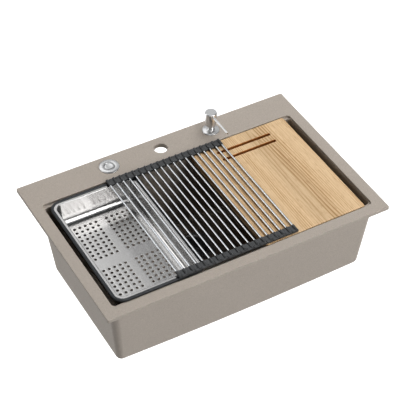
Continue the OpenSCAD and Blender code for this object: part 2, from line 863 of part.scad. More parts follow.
// Fixed barrel below the deck, with the suction tube under it
module pump_barrel() {
    color("#F0F0EC")
        translate([dispenser_x, row_y, 0])
            rotate_extrude()
                polygon([
                    [shank_bore - running_fit, barrel_top_z],
                    [shank_bore - running_fit, barrel_top_z - barrel_flange],
                    [barrel_radius, barrel_top_z - barrel_flange],
                    [barrel_radius, barrel_top_z - barrel_length],
                    [tube_radius, barrel_top_z - barrel_length],
                    [tube_radius, tube_end_z],
                    [tube_radius / 2, tube_end_z],
                    [tube_radius / 2, barrel_top_z - barrel_length + bottle_wall],
                    [barrel_radius - bottle_wall, barrel_top_z - barrel_length + bottle_wall],
                    [barrel_radius - bottle_wall, barrel_top_z]
                ]);
}

// Rod that slides in the neck, with its piston below and the head pin above
module pump_rod() {
    color("#D0D2D4")
        translate([dispenser_x, row_y, 0])
            rotate_extrude()
                polygon([
                    [0, rod_end_z],
                    [piston_radius, rod_end_z],
                    [piston_radius, rod_end_z + piston_height],
                    [rod_radius, rod_end_z + piston_height],
                    [rod_radius, cavity_top_z - pin_gap],
                    [rod_pin_radius, cavity_top_z - pin_gap],
                    [rod_pin_radius, rod_top_z],
                    [0, rod_top_z]
                ]);
}

// Pump head with its spout, free to turn on the rod pin
module pump_head() {
    color("#C9CCCF")
        translate([dispenser_x, row_y, 0])
            difference() {
                union() {
                    rotate_extrude()
                        polygon([
                            [0, head_bottom_z],
                            [head_foot_radius, head_bottom_z],
                            [head_radius, head_bottom_z + head_taper],
                            [head_radius, head_top_z - head_bevel],
                            [head_radius - head_bevel, head_top_z],
                            [0, head_top_z]
                        ]);
                    translate([0, 0, spout_z])
                        rotate([90, 0, 0])
                            cylinder(r = spout_radius, h = spout_reach);
                }
                translate([0, 0, head_bottom_z - cut])
                    cylinder(r = neck_radius + head_gap, h = cavity_top_z - head_bottom_z + cut);
                cylinder(r = rod_pin_radius + running_fit, h = rod_top_z + pin_gap);
                translate([0, -head_radius / 2, spout_z])
                    rotate([90, 0, 0])
                        cylinder(r = spout_bore, h = spout_reach);
            }
}

module pan_body(grow) {
    hull() {
        translate([0, 0, pan_rim_z])
            slab(pan_length + 2 * grow, pan_depth + 2 * grow, pan_corner + grow,
                colander_sheet, $fn = soft_facets);
        translate([0, 0, pan_floor_z + colander_cove])
            corners(pan_length - 2 * colander_lean - 2 * colander_cove,
                pan_depth - 2 * colander_lean - 2 * colander_cove)
                sphere(r = colander_cove + grow, $fn = soft_facets);
    }
}

// Pressed steel pan with a flat flange and four groups of drain holes
module colander_pan() {
    color("#C4C7C9")
        translate([rim_x, rim_y, 0])
            difference() {
                union() {
                    pan_body(colander_sheet);
                    translate([0, 0, pan_rim_z])
                        slab(flange_length, flange_depth, flange_corner, colander_sheet);
                }
                pan_body(0);
                translate([0, 0, pan_rim_z + colander_sheet / 2])
                    slab(pan_length, pan_depth, pan_corner, colander_sheet);
                for (sx = [-1, 1])
                    for (sy = [-1, 1])
                        for (i = [0:columns_per_group - 1])
                            for (j = [0:rows_per_group - 1])
                                translate([sx * (group_gap_x / 2 + i * hole_pitch),
                                    sy * (group_gap_y / 2 + j * hole_pitch),
                                    pan_floor_z - colander_sheet - cut])
                                    cylinder(r = drain_hole_radius, h = colander_sheet + 2 * cut);
            }
}

// Soft edge trim pushed on the flange of the pan
module colander_trim() {
    color("#4A4C4E")
        translate([rim_x, rim_y, 0])
            difference() {
                hull() {
                    translate([0, 0, trim_bottom_z])
                        slab(rim_length, rim_depth, rim_corner_radius,
                            trim_side, $fn = soft_facets);
                    translate([0, 0, trim_top_z - trim_crown])
                        slab(rim_length - 2 * trim_slope, rim_depth - 2 * trim_slope,
                            rim_corner_radius - trim_slope, trim_crown, $fn = soft_facets);
                }
                translate([0, 0, trim_bottom_z - cut])
                    slab(rim_length - 2 * trim_width, rim_depth - 2 * trim_width,
                        rim_corner_radius - trim_width, deck_top);
                translate([0, 0, pan_rim_z - trim_fit])
                    slab(flange_length + 2 * trim_fit, flange_depth + 2 * trim_fit,
                        flange_corner + trim_fit, colander_sheet + 2 * trim_fit);
            }
}

// A straight slot with half-round ends
module board_slot() {
    for (sx = [-1, 1])
        translate([sx * (slot_length - slot_width) / 2, 0, 0])
            cylinder(r = slot_width / 2, h = board_thickness + 2 * cut);
    translate([-(slot_length - slot_width) / 2, -slot_width / 2, 0])
        cube([slot_length - slot_width, slot_width, board_thickness + 2 * cut]);
}

// Board with rebated ends that drop between the ledges
module cutting_board() {
    color("#D9B98F")
        translate([board_x, bowl_y, 0])
            difference() {
                union() {
                    hull() {
                        translate([0, 0, tongue_bottom_z])
                            slab(board_length, board_depth, board_corner_radius,
                                board_top_z - tongue_bottom_z - board_bevel, $fn = soft_facets);
                        translate([0, 0, board_top_z - board_bevel])
                            slab(board_length - 2 * board_bevel, board_depth - 2 * board_bevel,
                                board_corner_radius - board_bevel, board_bevel, $fn = soft_facets);
                    }
                    translate([0, 0, board_bottom_z])
                        slab(board_length, board_depth - 2 * board_rebate, board_corner_radius,
                            tongue_bottom_z - board_bottom_z + weld);
                }
                for (y = [first_slot_y, first_slot_y - slot_spacing])
                    translate([0, y, board_bottom_z - cut])
                        board_slot();
            }
}

module rack_bar(index) {
    color("#D6D9DB")
        translate([first_bar_x + index * bar_pitch, rack_y + bar_length / 2, bar_z])
            rotate([90, 0, 0])
                cylinder(r = bar_radius, h = bar_length);
}

module along(radius, length) {
    rotate([90, 0, 0])
        cylinder(r = radius, h = length);
}

// One link at the rear end of a bar: a sleeve on its own bar, a web, and an
// eye that turns on the next bar
module rack_link(first, last) {
    own = first ? strip_width : sleeve_length;
    difference() {
        union() {
            translate([0, first ? 0 : -eye_length - rest_gap, 0])
                along(sleeve_radius, own);
            if (!last)
                difference() {
                    translate([0, -strip_width, web_bottom_z - bar_z])
                        cube([bar_pitch, strip_width, web_thickness]);
                    translate([bar_pitch, -eye_length - rest_gap / 2, 0])
                        along(sleeve_radius + link_gap, strip_width);
                    if (!first)
                        translate([0, cut, 0])
                            along(sleeve_radius + link_gap, eye_length + rest_gap / 2 + cut);
                }
            if (!last)
                translate([bar_pitch, 0, 0])
                    along(sleeve_radius, eye_length);
        }
        translate([0, first ? -eye_cap : cut, 0])
            along(bar_radius + running_fit, strip_width + 2 * cut);
        if (!last)
            translate([bar_pitch, -eye_cap, 0])
                along(eye_bore, eye_length);
    }
}

module rack_links(index) {
    color("#4E5052")
        translate([first_bar_x + index * bar_pitch, rack_y, bar_z])
            for (side = [0, 1])
                mirror([0, side, 0])
                    translate([0, rack_depth / 2, 0])
                        rack_link(index == 0, index == bar_count - 1);
}

sink_body();
waste_body();
waste_top_gasket();
waste_under_gasket();
waste_lock_nut();
waste_tail();
strainer_basket();
basket_seal();
button_housing();
button_nut();
button_cap();
dispenser_collar();
dispenser_nut();
soap_bottle();
pump_barrel();
pump_rod();
pump_head();
colander_pan();
colander_trim();
cutting_board();
rack_bar(0);  // rack_bar_01
rack_bar(1);  // rack_bar_02
rack_bar(2);  // rack_bar_03
rack_bar(3);  // rack_bar_04
rack_bar(4);  // rack_bar_05
rack_bar(5);  // rack_bar_06
rack_bar(6);  // rack_bar_07
rack_bar(7);  // rack_bar_08
rack_bar(8);  // rack_bar_09
rack_bar(9);  // rack_bar_10
rack_bar(10);  // rack_bar_11
rack_bar(11);  // rack_bar_12
rack_bar(12);  // rack_bar_13
rack_bar(13);  // rack_bar_14
rack_bar(14);  // rack_bar_15
rack_bar(15);  // rack_bar_16
rack_bar(16);  // rack_bar_17
rack_bar(17);  // rack_bar_18
rack_bar(18);  // rack_bar_19
rack_links(0);  // rack_links_01
rack_links(1);  // rack_links_02
rack_links(2);  // rack_links_03
rack_links(3);  // rack_links_04
rack_links(4);  // rack_links_05
rack_links(5);  // rack_links_06
rack_links(6);  // rack_links_07
rack_links(7);  // rack_links_08
rack_links(8);  // rack_links_09
rack_links(9);  // rack_links_10
rack_links(10);  // rack_links_11
rack_links(11);  // rack_links_12
rack_links(12);  // rack_links_13
rack_links(13);  // rack_links_14
rack_links(14);  // rack_links_15
rack_links(15);  // rack_links_16
rack_links(16);  // rack_links_17
rack_links(17);  // rack_links_18
rack_links(18);  // rack_links_19
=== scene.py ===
"""Granite kitchen sink with its sliding accessories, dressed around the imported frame."""

from math import atan2, cos, pi, radians, sin, sqrt, tan

import bmesh
import bpy
from mathutils import Matrix, Vector


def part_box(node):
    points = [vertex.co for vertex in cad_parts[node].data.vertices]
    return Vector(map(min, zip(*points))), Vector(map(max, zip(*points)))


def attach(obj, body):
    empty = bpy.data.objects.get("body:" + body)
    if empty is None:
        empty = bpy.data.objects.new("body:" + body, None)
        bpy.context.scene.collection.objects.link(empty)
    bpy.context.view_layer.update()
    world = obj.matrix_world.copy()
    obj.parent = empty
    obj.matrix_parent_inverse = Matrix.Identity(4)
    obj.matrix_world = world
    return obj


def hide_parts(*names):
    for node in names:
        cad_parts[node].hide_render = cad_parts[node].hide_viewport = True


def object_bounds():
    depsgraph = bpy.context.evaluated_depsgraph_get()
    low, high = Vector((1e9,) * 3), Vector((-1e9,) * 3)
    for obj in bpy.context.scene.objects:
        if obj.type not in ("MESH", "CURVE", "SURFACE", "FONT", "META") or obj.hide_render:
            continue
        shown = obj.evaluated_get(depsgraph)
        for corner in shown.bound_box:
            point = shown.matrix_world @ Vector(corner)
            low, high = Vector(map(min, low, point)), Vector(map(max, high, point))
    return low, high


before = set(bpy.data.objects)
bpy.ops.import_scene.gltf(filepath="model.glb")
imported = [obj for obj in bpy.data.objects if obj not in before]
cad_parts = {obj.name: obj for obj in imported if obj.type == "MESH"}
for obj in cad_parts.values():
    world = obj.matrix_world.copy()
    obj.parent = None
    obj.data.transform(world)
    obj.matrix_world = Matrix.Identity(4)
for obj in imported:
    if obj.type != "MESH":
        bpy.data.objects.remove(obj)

bl_info = {
    "name": "Granite sink with sliding accessories",
    "version": (1, 0, 0),
    "blender": (4, 5, 0),
    "location": "View3D > Sidebar > Sink",
    "description": "Builds the visible pieces of a granite sink on its packed frame",
    "category": "Add Mesh",
}

MM = 0.001
CAD_BOX = [list(corner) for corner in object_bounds()]
BARS = sum(name.startswith("rack_bar_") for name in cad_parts)


# Measures, in millimetres --------------------------------------------------

def span(node):
    """Lowest and highest corner of a CAD node."""
    low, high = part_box(node)
    return [value / MM for value in low], [value / MM for value in high]


def middle(node):
    """Centre of a CAD node's box."""
    low, high = span(node)
    return [(a + b) / 2 for a, b in zip(low, high)]


DECK_LOW, DECK_HIGH = span("sink_body")
RIM_LOW, RIM_HIGH = span("colander_trim")
PAN_LOW, PAN_HIGH = span("colander_pan")
BOARD_LOW, BOARD_HIGH = span("cutting_board")
DECK_TOP = DECK_HIGH[2]
SOLE = DECK_LOW[2]
BUTTON_AT = middle("button_cap")[:2]
DISPENSER_AT = middle("dispenser_collar")[:2]
WASTE_AT = middle("basket_seal")[:2]
RACK_AT = middle("rack_bar_01")
PITCH = middle("rack_bar_02")[0] - RACK_AT[0]
BOWL_Y = middle("cutting_board")[1]


# Mesh tools ----------------------------------------------------------------

def spread(start, stop, steps):
    """Even steps from one value to another, both included."""
    return [start + (stop - start) * i / steps for i in range(steps + 1)]


def arc(start, stop, radius, steps=5):
    """Offsets of the points on an arc between two angles in degrees."""
    angles = spread(radians(start), radians(stop), steps)
    return [(radius * cos(angle), radius * sin(angle)) for angle in angles]


def circle(radius, steps=32):
    """Points of a circle about the origin, anticlockwise."""
    return [(radius * cos(2 * pi * i / steps), radius * sin(2 * pi * i / steps))
            for i in range(steps)]


def rounded_loop(length, depth, radius, height, centre=(0, 0), steps=10):
    """Points round a rectangle with arcs at its corners, anticlockwise."""
    points = []
    for index, (sx, sy) in enumerate(((1, 1), (-1, 1), (-1, -1), (1, -1))):
        x = centre[0] + sx * (length / 2 - radius)
        y = centre[1] + sy * (depth / 2 - radius)
        for step in range(steps + 1):
            angle = pi / 2 * (index + step / steps)
            points.append((x + radius * cos(angle), y + radius * sin(angle), height))
    return points


def with_sides(loop, shares):
    """The same loop with points added on its long sides, at shares of their half length."""
    quarter = len(loop) // 4
    result = []
    for corner in range(4):
        points = loop[corner * quarter:(corner + 1) * quarter]
        result += points
        if corner in (0, 2):
            start, stop = Vector(points[-1]), Vector(loop[(corner + 1) * quarter])
            result += [tuple(start.lerp(stop, (1 - share) / 2)) for share in shares]
    return result


def round_loop_towards(radius, height, centre, others):
    """Points on a circle, each in the direction of a point of another loop."""
    points = []
    for x, y, _ in others:
        angle = atan2(y - centre[1], x - centre[0])
        points.append((centre[0] + radius * cos(angle), centre[1] + radius * sin(angle), height))
    return points


def eased(profile, radius, steps=4, closed=False):
    """The same profile with each corner rounded to the radius, where its sides allow."""
    count = len(profile)
    result = []
    for i, point in enumerate(profile):
        if not closed and i in (0, count - 1):
            result.append(point)
            continue
        here = Vector(point)
        before = Vector(profile[i - 1]) - here
        after = Vector(profile[(i + 1) % count]) - here
        bend = before.angle(after, pi)
        if bend > radians(172):
            result.append(point)
            continue
        reach = min(radius / tan(bend / 2), before.length * 0.45, after.length * 0.45)
        start = here + before.normalized() * reach
        end = here + after.normalized() * reach
        for t in spread(0, 1, steps):
            result.append(tuple((1 - t) ** 2 * start + 2 * t * (1 - t) * here + t * t * end))
    return result


def new_piece(name, mesh):
    """A new object from a bmesh, which is freed."""
    data = bpy.data.meshes.new(name)
    mesh.to_mesh(data)
    mesh.free()
    piece = bpy.data.objects.new(name, data)
    bpy.context.scene.collection.objects.link(piece)
    return piece


def loft(name, loops, closed=False, first_cap=True, last_cap=True, merge=False):
    """Quads between loops of equal count, given in millimetres."""
    mesh = bmesh.new()
    rings = [[mesh.verts.new(Vector(point) * MM) for point in loop] for loop in loops]
    pairs = list(zip(rings, rings[1:])) + ([(rings[-1], rings[0])] if closed else [])
    for low, high in pairs:
        for i in range(len(low)):
            j = (i + 1) % len(low)
            mesh.faces.new((low[i], low[j], high[j], high[i]))
    if not closed and first_cap:
        mesh.faces.new(rings[0][::-1])
    if not closed and last_cap:
        mesh.faces.new(rings[-1])
    if merge:
        bmesh.ops.remove_doubles(mesh, verts=mesh.verts, dist=1e-7)
        bmesh.ops.recalc_face_normals(mesh, faces=mesh.faces)
    return new_piece(name, mesh)


def turned(name, profile, centre, steps=96):
    """A piece turned about an upright axis from a closed profile of radius and height."""
    loops = [[(centre[0] + x, centre[1] + y, height) for x, y in circle(max(radius, 0), steps)]
             for radius, height in profile]
    return loft(name, loops, closed=True, merge=True)


def rod(name, x, profile, steps=32):
    """A round bar along the sink's depth, at the origin's height, from a profile of
    place and radius."""
    return loft(name, [[(x + across, y, up) for across, up in circle(radius, steps)]
                       for y, radius in profile], merge=True)


def plain(piece):
    """Turns a piece with modifiers into a plain mesh."""
    graph = bpy.context.evaluated_depsgraph_get()
    mesh = bpy.data.meshes.new_from_object(piece.evaluated_get(graph), depsgraph=graph)
    old = piece.data
    piece.modifiers.clear()
    piece.data = mesh
    bpy.data.meshes.remove(old)
    return piece


def carve(piece, tools, operation="DIFFERENCE"):
    """Cuts the tools out of the piece, or joins them to it, and removes them."""
    for tool in tools:
        step = piece.modifiers.new(tool.name, "BOOLEAN")
        step.operation = operation
        step.solver = "EXACT"
        step.object = tool
    plain(piece)
    discard(*tools)
    return piece


def discard(*pieces):
    """Removes helper objects."""
    for piece in pieces:
        bpy.data.objects.remove(piece)


def shade(piece, angle=32):
    """Smooth shading with sharp folds, and flat faces that stay flat."""
    piece.data.shade_smooth()
    piece.data.set_sharp_from_angle(angle=radians(angle))
    weigh = piece.modifiers.new("weighted", "WEIGHTED_NORMAL")
    weigh.keep_sharp = True
    weigh.weight = 100
    return plain(piece)


def settle(piece, body, finish, node):
    """Gives a piece its finish, its body and the CAD node that it stands for."""
    piece.data.materials.clear()
    piece.data.materials.append(finish)
    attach(piece, body)
    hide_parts(node)


def dress(node, finish):
    """Puts a finish on a CAD node that is shown as it is."""
    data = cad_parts[node].data
    data.materials.clear()
    data.materials.append(finish)


# Node tools ----------------------------------------------------------------

def linear(code):
    """An sRGB hex colour as linear values."""
    values = [int(code[i:i + 2], 16) / 255 for i in (1, 3, 5)]
    return [v / 12.92 if v <= 0.04045 else ((v + 0.055) / 1.055) ** 2.4 for v in values]


def rgba(colour):
    """A linear colour with full cover, as the shader's sockets take it."""
    return (*colour, 1.0)


def per(*sizes):
    """Cells in a metre, for cells of these sizes in millimetres."""
    counts = [1 / (size * MM) for size in sizes]
    return counts if len(counts) > 1 else counts[0]


def feed(tree, item, inputs):
    """Sets a node's inputs. A socket is linked, and so is a node's first output."""
    for key, value in inputs.items():
        if isinstance(value, bpy.types.Node):
            value = value.outputs[0]
        if isinstance(value, bpy.types.NodeSocket):
            tree.links.new(value, item.inputs[key])
        else:
            item.inputs[key].default_value = value


def add(tree, kind, inputs=None, stops=(), **settings):
    """Adds a node with its settings, values and links, and a ramp's colour stops."""
    item = tree.nodes.new(kind)
    for key, value in settings.items():
        setattr(item, key, value)
    feed(tree, item, inputs or {})
    if stops:
        elements = item.color_ramp.elements
        while len(elements) < len(stops):
            elements.new(0.5)
        for element, (position, colour) in zip(elements, stops):
            element.position = position
            element.color = rgba(colour)
    return item


def node_tree(name, inputs):
    """A tree of Geometry Nodes with these named inputs, and its sockets to build on."""
    tree = bpy.data.node_groups.new(name, "GeometryNodeTree")
    face = tree.interface
    face.new_socket("Geometry", in_out="OUTPUT", socket_type="NodeSocketGeometry")
    for label, kind in inputs.items():
        face.new_socket(label, in_out="INPUT", socket_type="NodeSocket" + kind)
    return tree, add(tree, "NodeGroupInput").outputs


def end_tree(tree, geometry, material):
    """Ends a tree: its instances are made real and get their material."""
    real = add(tree, "GeometryNodeRealizeInstances", {"Geometry": geometry})
    painted = add(tree, "GeometryNodeSetMaterial", {"Geometry": real, "Material": material})
    add(tree, "NodeGroupOutput", {"Geometry": painted})
    return tree


def grow(name, tree, values):
    """Runs a tree of Geometry Nodes with its inputs set, and keeps the plain mesh."""
    piece = bpy.data.objects.new(name, bpy.data.meshes.new(name))
    bpy.context.scene.collection.objects.link(piece)
    step = piece.modifiers.new(name, "NODES")
    step.node_group = tree
    for item in tree.interface.items_tree:
        if item.in_out == "INPUT" and item.name in values:
            step[item.identifier] = values[item.name]
    return plain(piece)


# Materials -----------------------------------------------------------------

# Length of a streak along the grain of brushed or polished steel, in millimetres
STREAK = 167.0


def finish_of(name, **values):
    """A new material, its node tree, its surface shader and its Object coordinates."""
    material = bpy.data.materials.new(name)
    material.use_nodes = True
    tree = material.node_tree
    shader = tree.nodes["Principled BSDF"]
    feed(tree, shader, {key.replace("_", " "): value for key, value in values.items()})
    return material, tree, shader, add(tree, "ShaderNodeTexCoord").outputs["Object"]


def granite_finish(colour, dark_fleck, light_fleck, grain):
    """Quartz granules cast in acrylic resin: matt and even, with light and dark flecks
    of about a millimetre that only just show, and a dry, slightly rough skin."""
    material, tree, shader, spot = finish_of("cast_granite_composite", Roughness=0.55,
                                             Specular_IOR_Level=0.25)
    flecks = add(tree, "ShaderNodeTexVoronoi", {"Vector": spot, "Scale": per(grain)})
    tone = add(tree, "ShaderNodeSeparateColor", {"Color": flecks.outputs["Color"]})
    base = add(tree, "ShaderNodeValToRGB", {"Fac": tone.outputs["Red"]}, (
        (0.0, dark_fleck), (0.16, colour), (0.84, colour), (1.0, light_fleck)))
    # The casting is a shade lighter or darker over a hand's breadth
    cloud = add(tree, "ShaderNodeTexNoise", {"Vector": spot, "Scale": per(111), "Detail": 3.0})
    shadow = add(tree, "ShaderNodeMapRange", {
        "Value": cloud, "From Min": 0.3, "From Max": 0.7, "To Min": 0.985, "To Max": 1.01})
    mixed = add(tree, "ShaderNodeMix", {0: 1.0, 6: base, 7: shadow},
                data_type="RGBA", blend_type="MULTIPLY")
    skin = add(tree, "ShaderNodeTexNoise", {
        "Vector": spot, "Scale": per(grain / 1.3), "Detail": 2.0})
    bump = add(tree, "ShaderNodeBump", {"Height": skin, "Strength": 0.12, "Distance": 0.2 * MM})
    feed(tree, shader, {"Base Color": mixed.outputs[2], "Normal": bump})
    return material


def steel_finish(name, colour, roughness, grain, across, depth=0.03, wave=0.0):
    """Stainless steel or chrome plate. Its grain of fine streaks softens and spreads each
    reflection. Real streaks are finer than 0.1 mm; they are drawn 0.3 to 0.5 mm wide so
    that they show. Pressed sheet also has a slow wave of some centimetres, which bends
    the reflections."""
    material, tree, shader, spot = finish_of(name, Metallic=1.0, Base_Color=rgba(colour))
    drawn = add(tree, "ShaderNodeMapping", {
        "Vector": spot, "Scale": per(*(grain if axis in across else STREAK for axis in "xyz"))})
    streak = add(tree, "ShaderNodeTexNoise", {"Vector": drawn, "Scale": 1.0, "Detail": 3.0})
    gloss = add(tree, "ShaderNodeMapRange", {
        "Value": streak, "From Min": 0.3, "From Max": 0.7,
        "To Min": roughness * 0.9, "To Max": roughness * 1.12})
    bump = add(tree, "ShaderNodeBump", {
        "Height": streak, "Strength": depth, "Distance": 0.1 * MM})
    if wave:
        sheet = add(tree, "ShaderNodeMapping", {"Vector": spot, "Scale": per(38.5, 38.5, 250)})
        slow = add(tree, "ShaderNodeTexNoise", {"Vector": sheet, "Scale": 1.0, "Detail": 1.0})
        bump = add(tree, "ShaderNodeBump", {
            "Height": slow, "Strength": 1.0, "Distance": wave * MM, "Normal": bump})
    feed(tree, shader, {"Roughness": gloss, "Normal": bump})
    return material


def chromed_brass(colour):
    """Brass with a satin chrome plate, which gives soft bright reflections and hardly any
    grain. It is made once and shared by the deck's fittings."""
    name = "satin_chromed_brass"
    return bpy.data.materials.get(name) or steel_finish(name, colour, 0.3, 0.4, "xy", 0.004)


def soft_finish(name, colour, roughness, variation=0.12):
    """Moulded silicone, rubber or plastic: one even colour with a slight mottle and
    the fine dry texture of its mould, which takes the edge off its shine. The texture is
    drawn 0.6 mm coarse, because the real one, under 0.1 mm, wouldn't show."""
    material, tree, shader, spot = finish_of(name, IOR=1.45)
    mottle = add(tree, "ShaderNodeTexNoise", {"Vector": spot, "Scale": per(16.7), "Detail": 4.0})
    base = add(tree, "ShaderNodeValToRGB", {"Fac": mottle}, (
        (0.3, [c * (1 - variation) for c in colour]), (0.7, [c * (1 + variation) for c in colour])))
    skin = add(tree, "ShaderNodeTexNoise", {"Vector": spot, "Scale": per(0.6), "Detail": 2.0})
    gloss = add(tree, "ShaderNodeMapRange", {
        "Value": skin, "To Min": roughness * 0.85, "To Max": roughness * 1.15})
    bump = add(tree, "ShaderNodeBump", {"Height": skin, "Strength": 0.15, "Distance": 0.1 * MM})
    feed(tree, shader, {"Base Color": base, "Roughness": gloss, "Normal": bump})
    return material


def wood_finish(name, light, dark, pore, ring, heart):
    """A flat-sawn plank of pale hardwood, planed and oiled. Its growth rings are
    cylinders that taper along the plank, so the cut face shows nested arches, and
    short dark pores run with the grain. The pores are drawn about 1 mm wide, five
    times their real width, because they wouldn't show otherwise."""
    # The trunk narrows by 22 mm in a metre and bends by up to 18 mm. Good and poor
    # years set a ring up to 3 rings out of step.
    taper, wander, unevenness = 0.022, 18 * MM, 3.0
    material, tree, shader, spot = finish_of(name, Roughness=0.5, IOR=1.45)
    # Noise drawn out along the plank: width and length of a patch in millimetres, detail
    noises = []
    for width, length, detail in ((71.4, 555, 2.0), (29.4, 667, 2.0), (2.38, 71.4, 3.0),
                                  (1.11, 22.2, 1.0)):
        drawn = add(tree, "ShaderNodeMapping", {
            "Vector": spot, "Scale": per(width, length, width)})
        noises.append(add(tree, "ShaderNodeTexNoise", {
            "Vector": drawn, "Scale": 1.0, "Detail": detail}))
    bend, years, streak, pores = noises
    place = add(tree, "ShaderNodeMapping", {
        "Vector": spot, "Location": [-value * MM for value in heart]})
    axis = add(tree, "ShaderNodeSeparateXYZ", {"Vector": place}).outputs
    flat = add(tree, "ShaderNodeCombineXYZ", {"X": axis["X"], "Y": axis["Z"]})
    radius = add(tree, "ShaderNodeVectorMath", {0: flat}, operation="LENGTH").outputs["Value"]
    cone = add(tree, "ShaderNodeMath", {0: axis["Y"], 1: taper, 2: radius},
               operation="MULTIPLY_ADD")
    bent = add(tree, "ShaderNodeMath", {0: bend, 1: wander, 2: cone}, operation="MULTIPLY_ADD")
    even = add(tree, "ShaderNodeMath", {0: bent, 1: per(ring)}, operation="MULTIPLY")
    turns = add(tree, "ShaderNodeMath", {0: years, 1: unevenness, 2: even},
                operation="MULTIPLY_ADD")
    wave = add(tree, "ShaderNodeMath", {0: turns}, operation="FRACT")
    rings = add(tree, "ShaderNodeValToRGB", {"Fac": wave}, (
        (0.0, (0, 0, 0)), (0.5, (0.3, 0.3, 0.3)), (0.8, (1, 1, 1)), (1.0, (0, 0, 0))))
    fibres = add(tree, "ShaderNodeMath", {0: streak, 1: 0.5}, operation="MULTIPLY")
    contrast = add(tree, "ShaderNodeMapRange", {
        "Value": years, "From Min": 0.35, "From Max": 0.6, "To Min": 0.12, "To Max": 0.6})
    grain = add(tree, "ShaderNodeMath", {0: rings, 1: contrast, 2: fibres},
                operation="MULTIPLY_ADD")
    plank = add(tree, "ShaderNodeValToRGB", {"Fac": grain}, ((0.15, light), (0.8, dark)))
    # The wood round the heart is a little darker
    core = add(tree, "ShaderNodeMapRange", {
        "Value": radius, "From Min": 28 * MM, "From Max": 50 * MM, "To Min": 0.9, "To Max": 1.0})
    base = add(tree, "ShaderNodeMix", {0: 1.0, 6: plank, 7: core},
               data_type="RGBA", blend_type="MULTIPLY")
    pits = add(tree, "ShaderNodeValToRGB", {"Fac": pores}, (
        (0.6, (0, 0, 0)), (0.7, (1, 1, 1))))
    shown = add(tree, "ShaderNodeMath", {0: pits, 1: 0.35}, operation="MULTIPLY")
    mixed = add(tree, "ShaderNodeMix", {0: shown, 6: base.outputs[2], 7: rgba(pore)},
                data_type="RGBA")
    bump = add(tree, "ShaderNodeBump", {"Height": grain, "Strength": 0.15, "Distance": 0.2 * MM},
               invert=True)
    feed(tree, shader, {"Base Color": mixed.outputs[2], "Normal": bump})
    return material


# Sizes and colours ---------------------------------------------------------

def length_of(name, description, millimetres):
    """A size in Blender's unit of length, from its default in millimetres."""
    return bpy.props.FloatProperty(name=name, description=description, default=millimetres * MM,
                                   min=0, precision=4, subtype="DISTANCE")


def power_of(name, description, watts):
    """The power of a light."""
    return bpy.props.FloatProperty(name=name, description=description, default=watts,
                                   min=0, subtype="POWER")


def share_of(name, description, share):
    """A strength without a unit."""
    return bpy.props.FloatProperty(name=name, description=description, default=share,
                                   min=0, soft_max=1, subtype="FACTOR")


def colour_of(name, description, code):
    """A colour, from its default as sRGB hex."""
    return bpy.props.FloatVectorProperty(name=name, description=description,
                                         default=linear(code), size=3, min=0, max=1,
                                         subtype="COLOR")


class GraniteSettings(bpy.types.PropertyGroup):
    """Finish and edges of the cast granite"""
    colour: colour_of("Colour", "Main colour of the cast granite", "#B1A9A1")
    dark_fleck: colour_of("Dark fleck", "Colour of the dark granules", "#A29A90")
    light_fleck: colour_of("Light fleck", "Colour of the light granules", "#BFB7AD")
    grain: length_of("Grain", "Width of one granule", 1.0)
    edge: length_of("Edge", "Radius of the deck's upper edges", 1.3)


class SteelSettings(bpy.types.PropertyGroup):
    """Finishes of the metal parts and sizes of the colander's steel"""
    pan: colour_of("Pan", "Colour of the colander's steel", "#CBCAC9")
    bar: colour_of("Bar", "Colour of the rack bars", "#D0D2D4")
    fitting: colour_of("Fitting", "Colour of the chromed fittings", "#E2E2E2")
    waste: colour_of("Waste", "Colour of the waste's satin steel", "#B4B5B6")
    sheet: length_of("Sheet", "Thickness of the colander's steel", 1.2)
    hole: length_of("Hole", "Radius of the colander's drain holes", 3.5)


class StripSettings(bpy.types.PropertyGroup):
    """Colours and sizes of the silicone parts"""
    link: colour_of("Link", "Colour of the silicone links", "#575859")
    trim: colour_of("Trim", "Colour of the colander's edge trim", "#4E5052")
    web: length_of("Web", "Thickness of the web between two sleeves", 5.0)
    sleeve: length_of("Sleeve", "Radius of the sleeve round a bar", 3.8)
    width: length_of("Width", "Width of the end strips", 21.0)


class WoodSettings(bpy.types.PropertyGroup):
    """Colours and growth rings of the cutting board"""
    light: colour_of("Light", "Colour of the early wood", "#E1C9A8")
    dark: colour_of("Dark", "Colour of the late wood", "#AE8B60")
    pore: colour_of("Pore", "Colour of the pores", "#8F6238")
    # Painted shade: the wood of the slots' walls, darker and warmer than the board, stands in for
    # the shade inside the slots
    slot_shade_early: colour_of("Slot shade early", "Colour of the early wood in the slots", "#D09A62")
    slot_shade_late: colour_of("Slot shade late", "Colour of the late wood in the slots", "#AB733F")
    ring: length_of("Ring", "Width of a growth ring", 5.2)


class StageSettings(bpy.types.PropertyGroup):
    """Floor and lights of the studio"""
    floor: colour_of("Floor", "Colour of the floor", "#404040")
    glow: share_of("Glow", "Light that the floor gives off by itself", 0.99)
    key: power_of("Key", "Light above the right, unseen in the metal", 178.0)
    top: power_of("Top", "Panel overhead, seen only in the metal", 54.0)
    back: power_of("Back", "Panel behind, seen only in the metal", 22.0)
    front: power_of("Front", "Light above the front", 42.0)
    low: power_of("Low", "Low light at the front", 118.0)
    left: power_of("Left", "Low light at the left", 45.0)
    rear: power_of("Rear", "Light above the rear", 42.0)
    fill: share_of("Fill", "Strength of the pale surroundings", 0.82)


# Granite -------------------------------------------------------------------

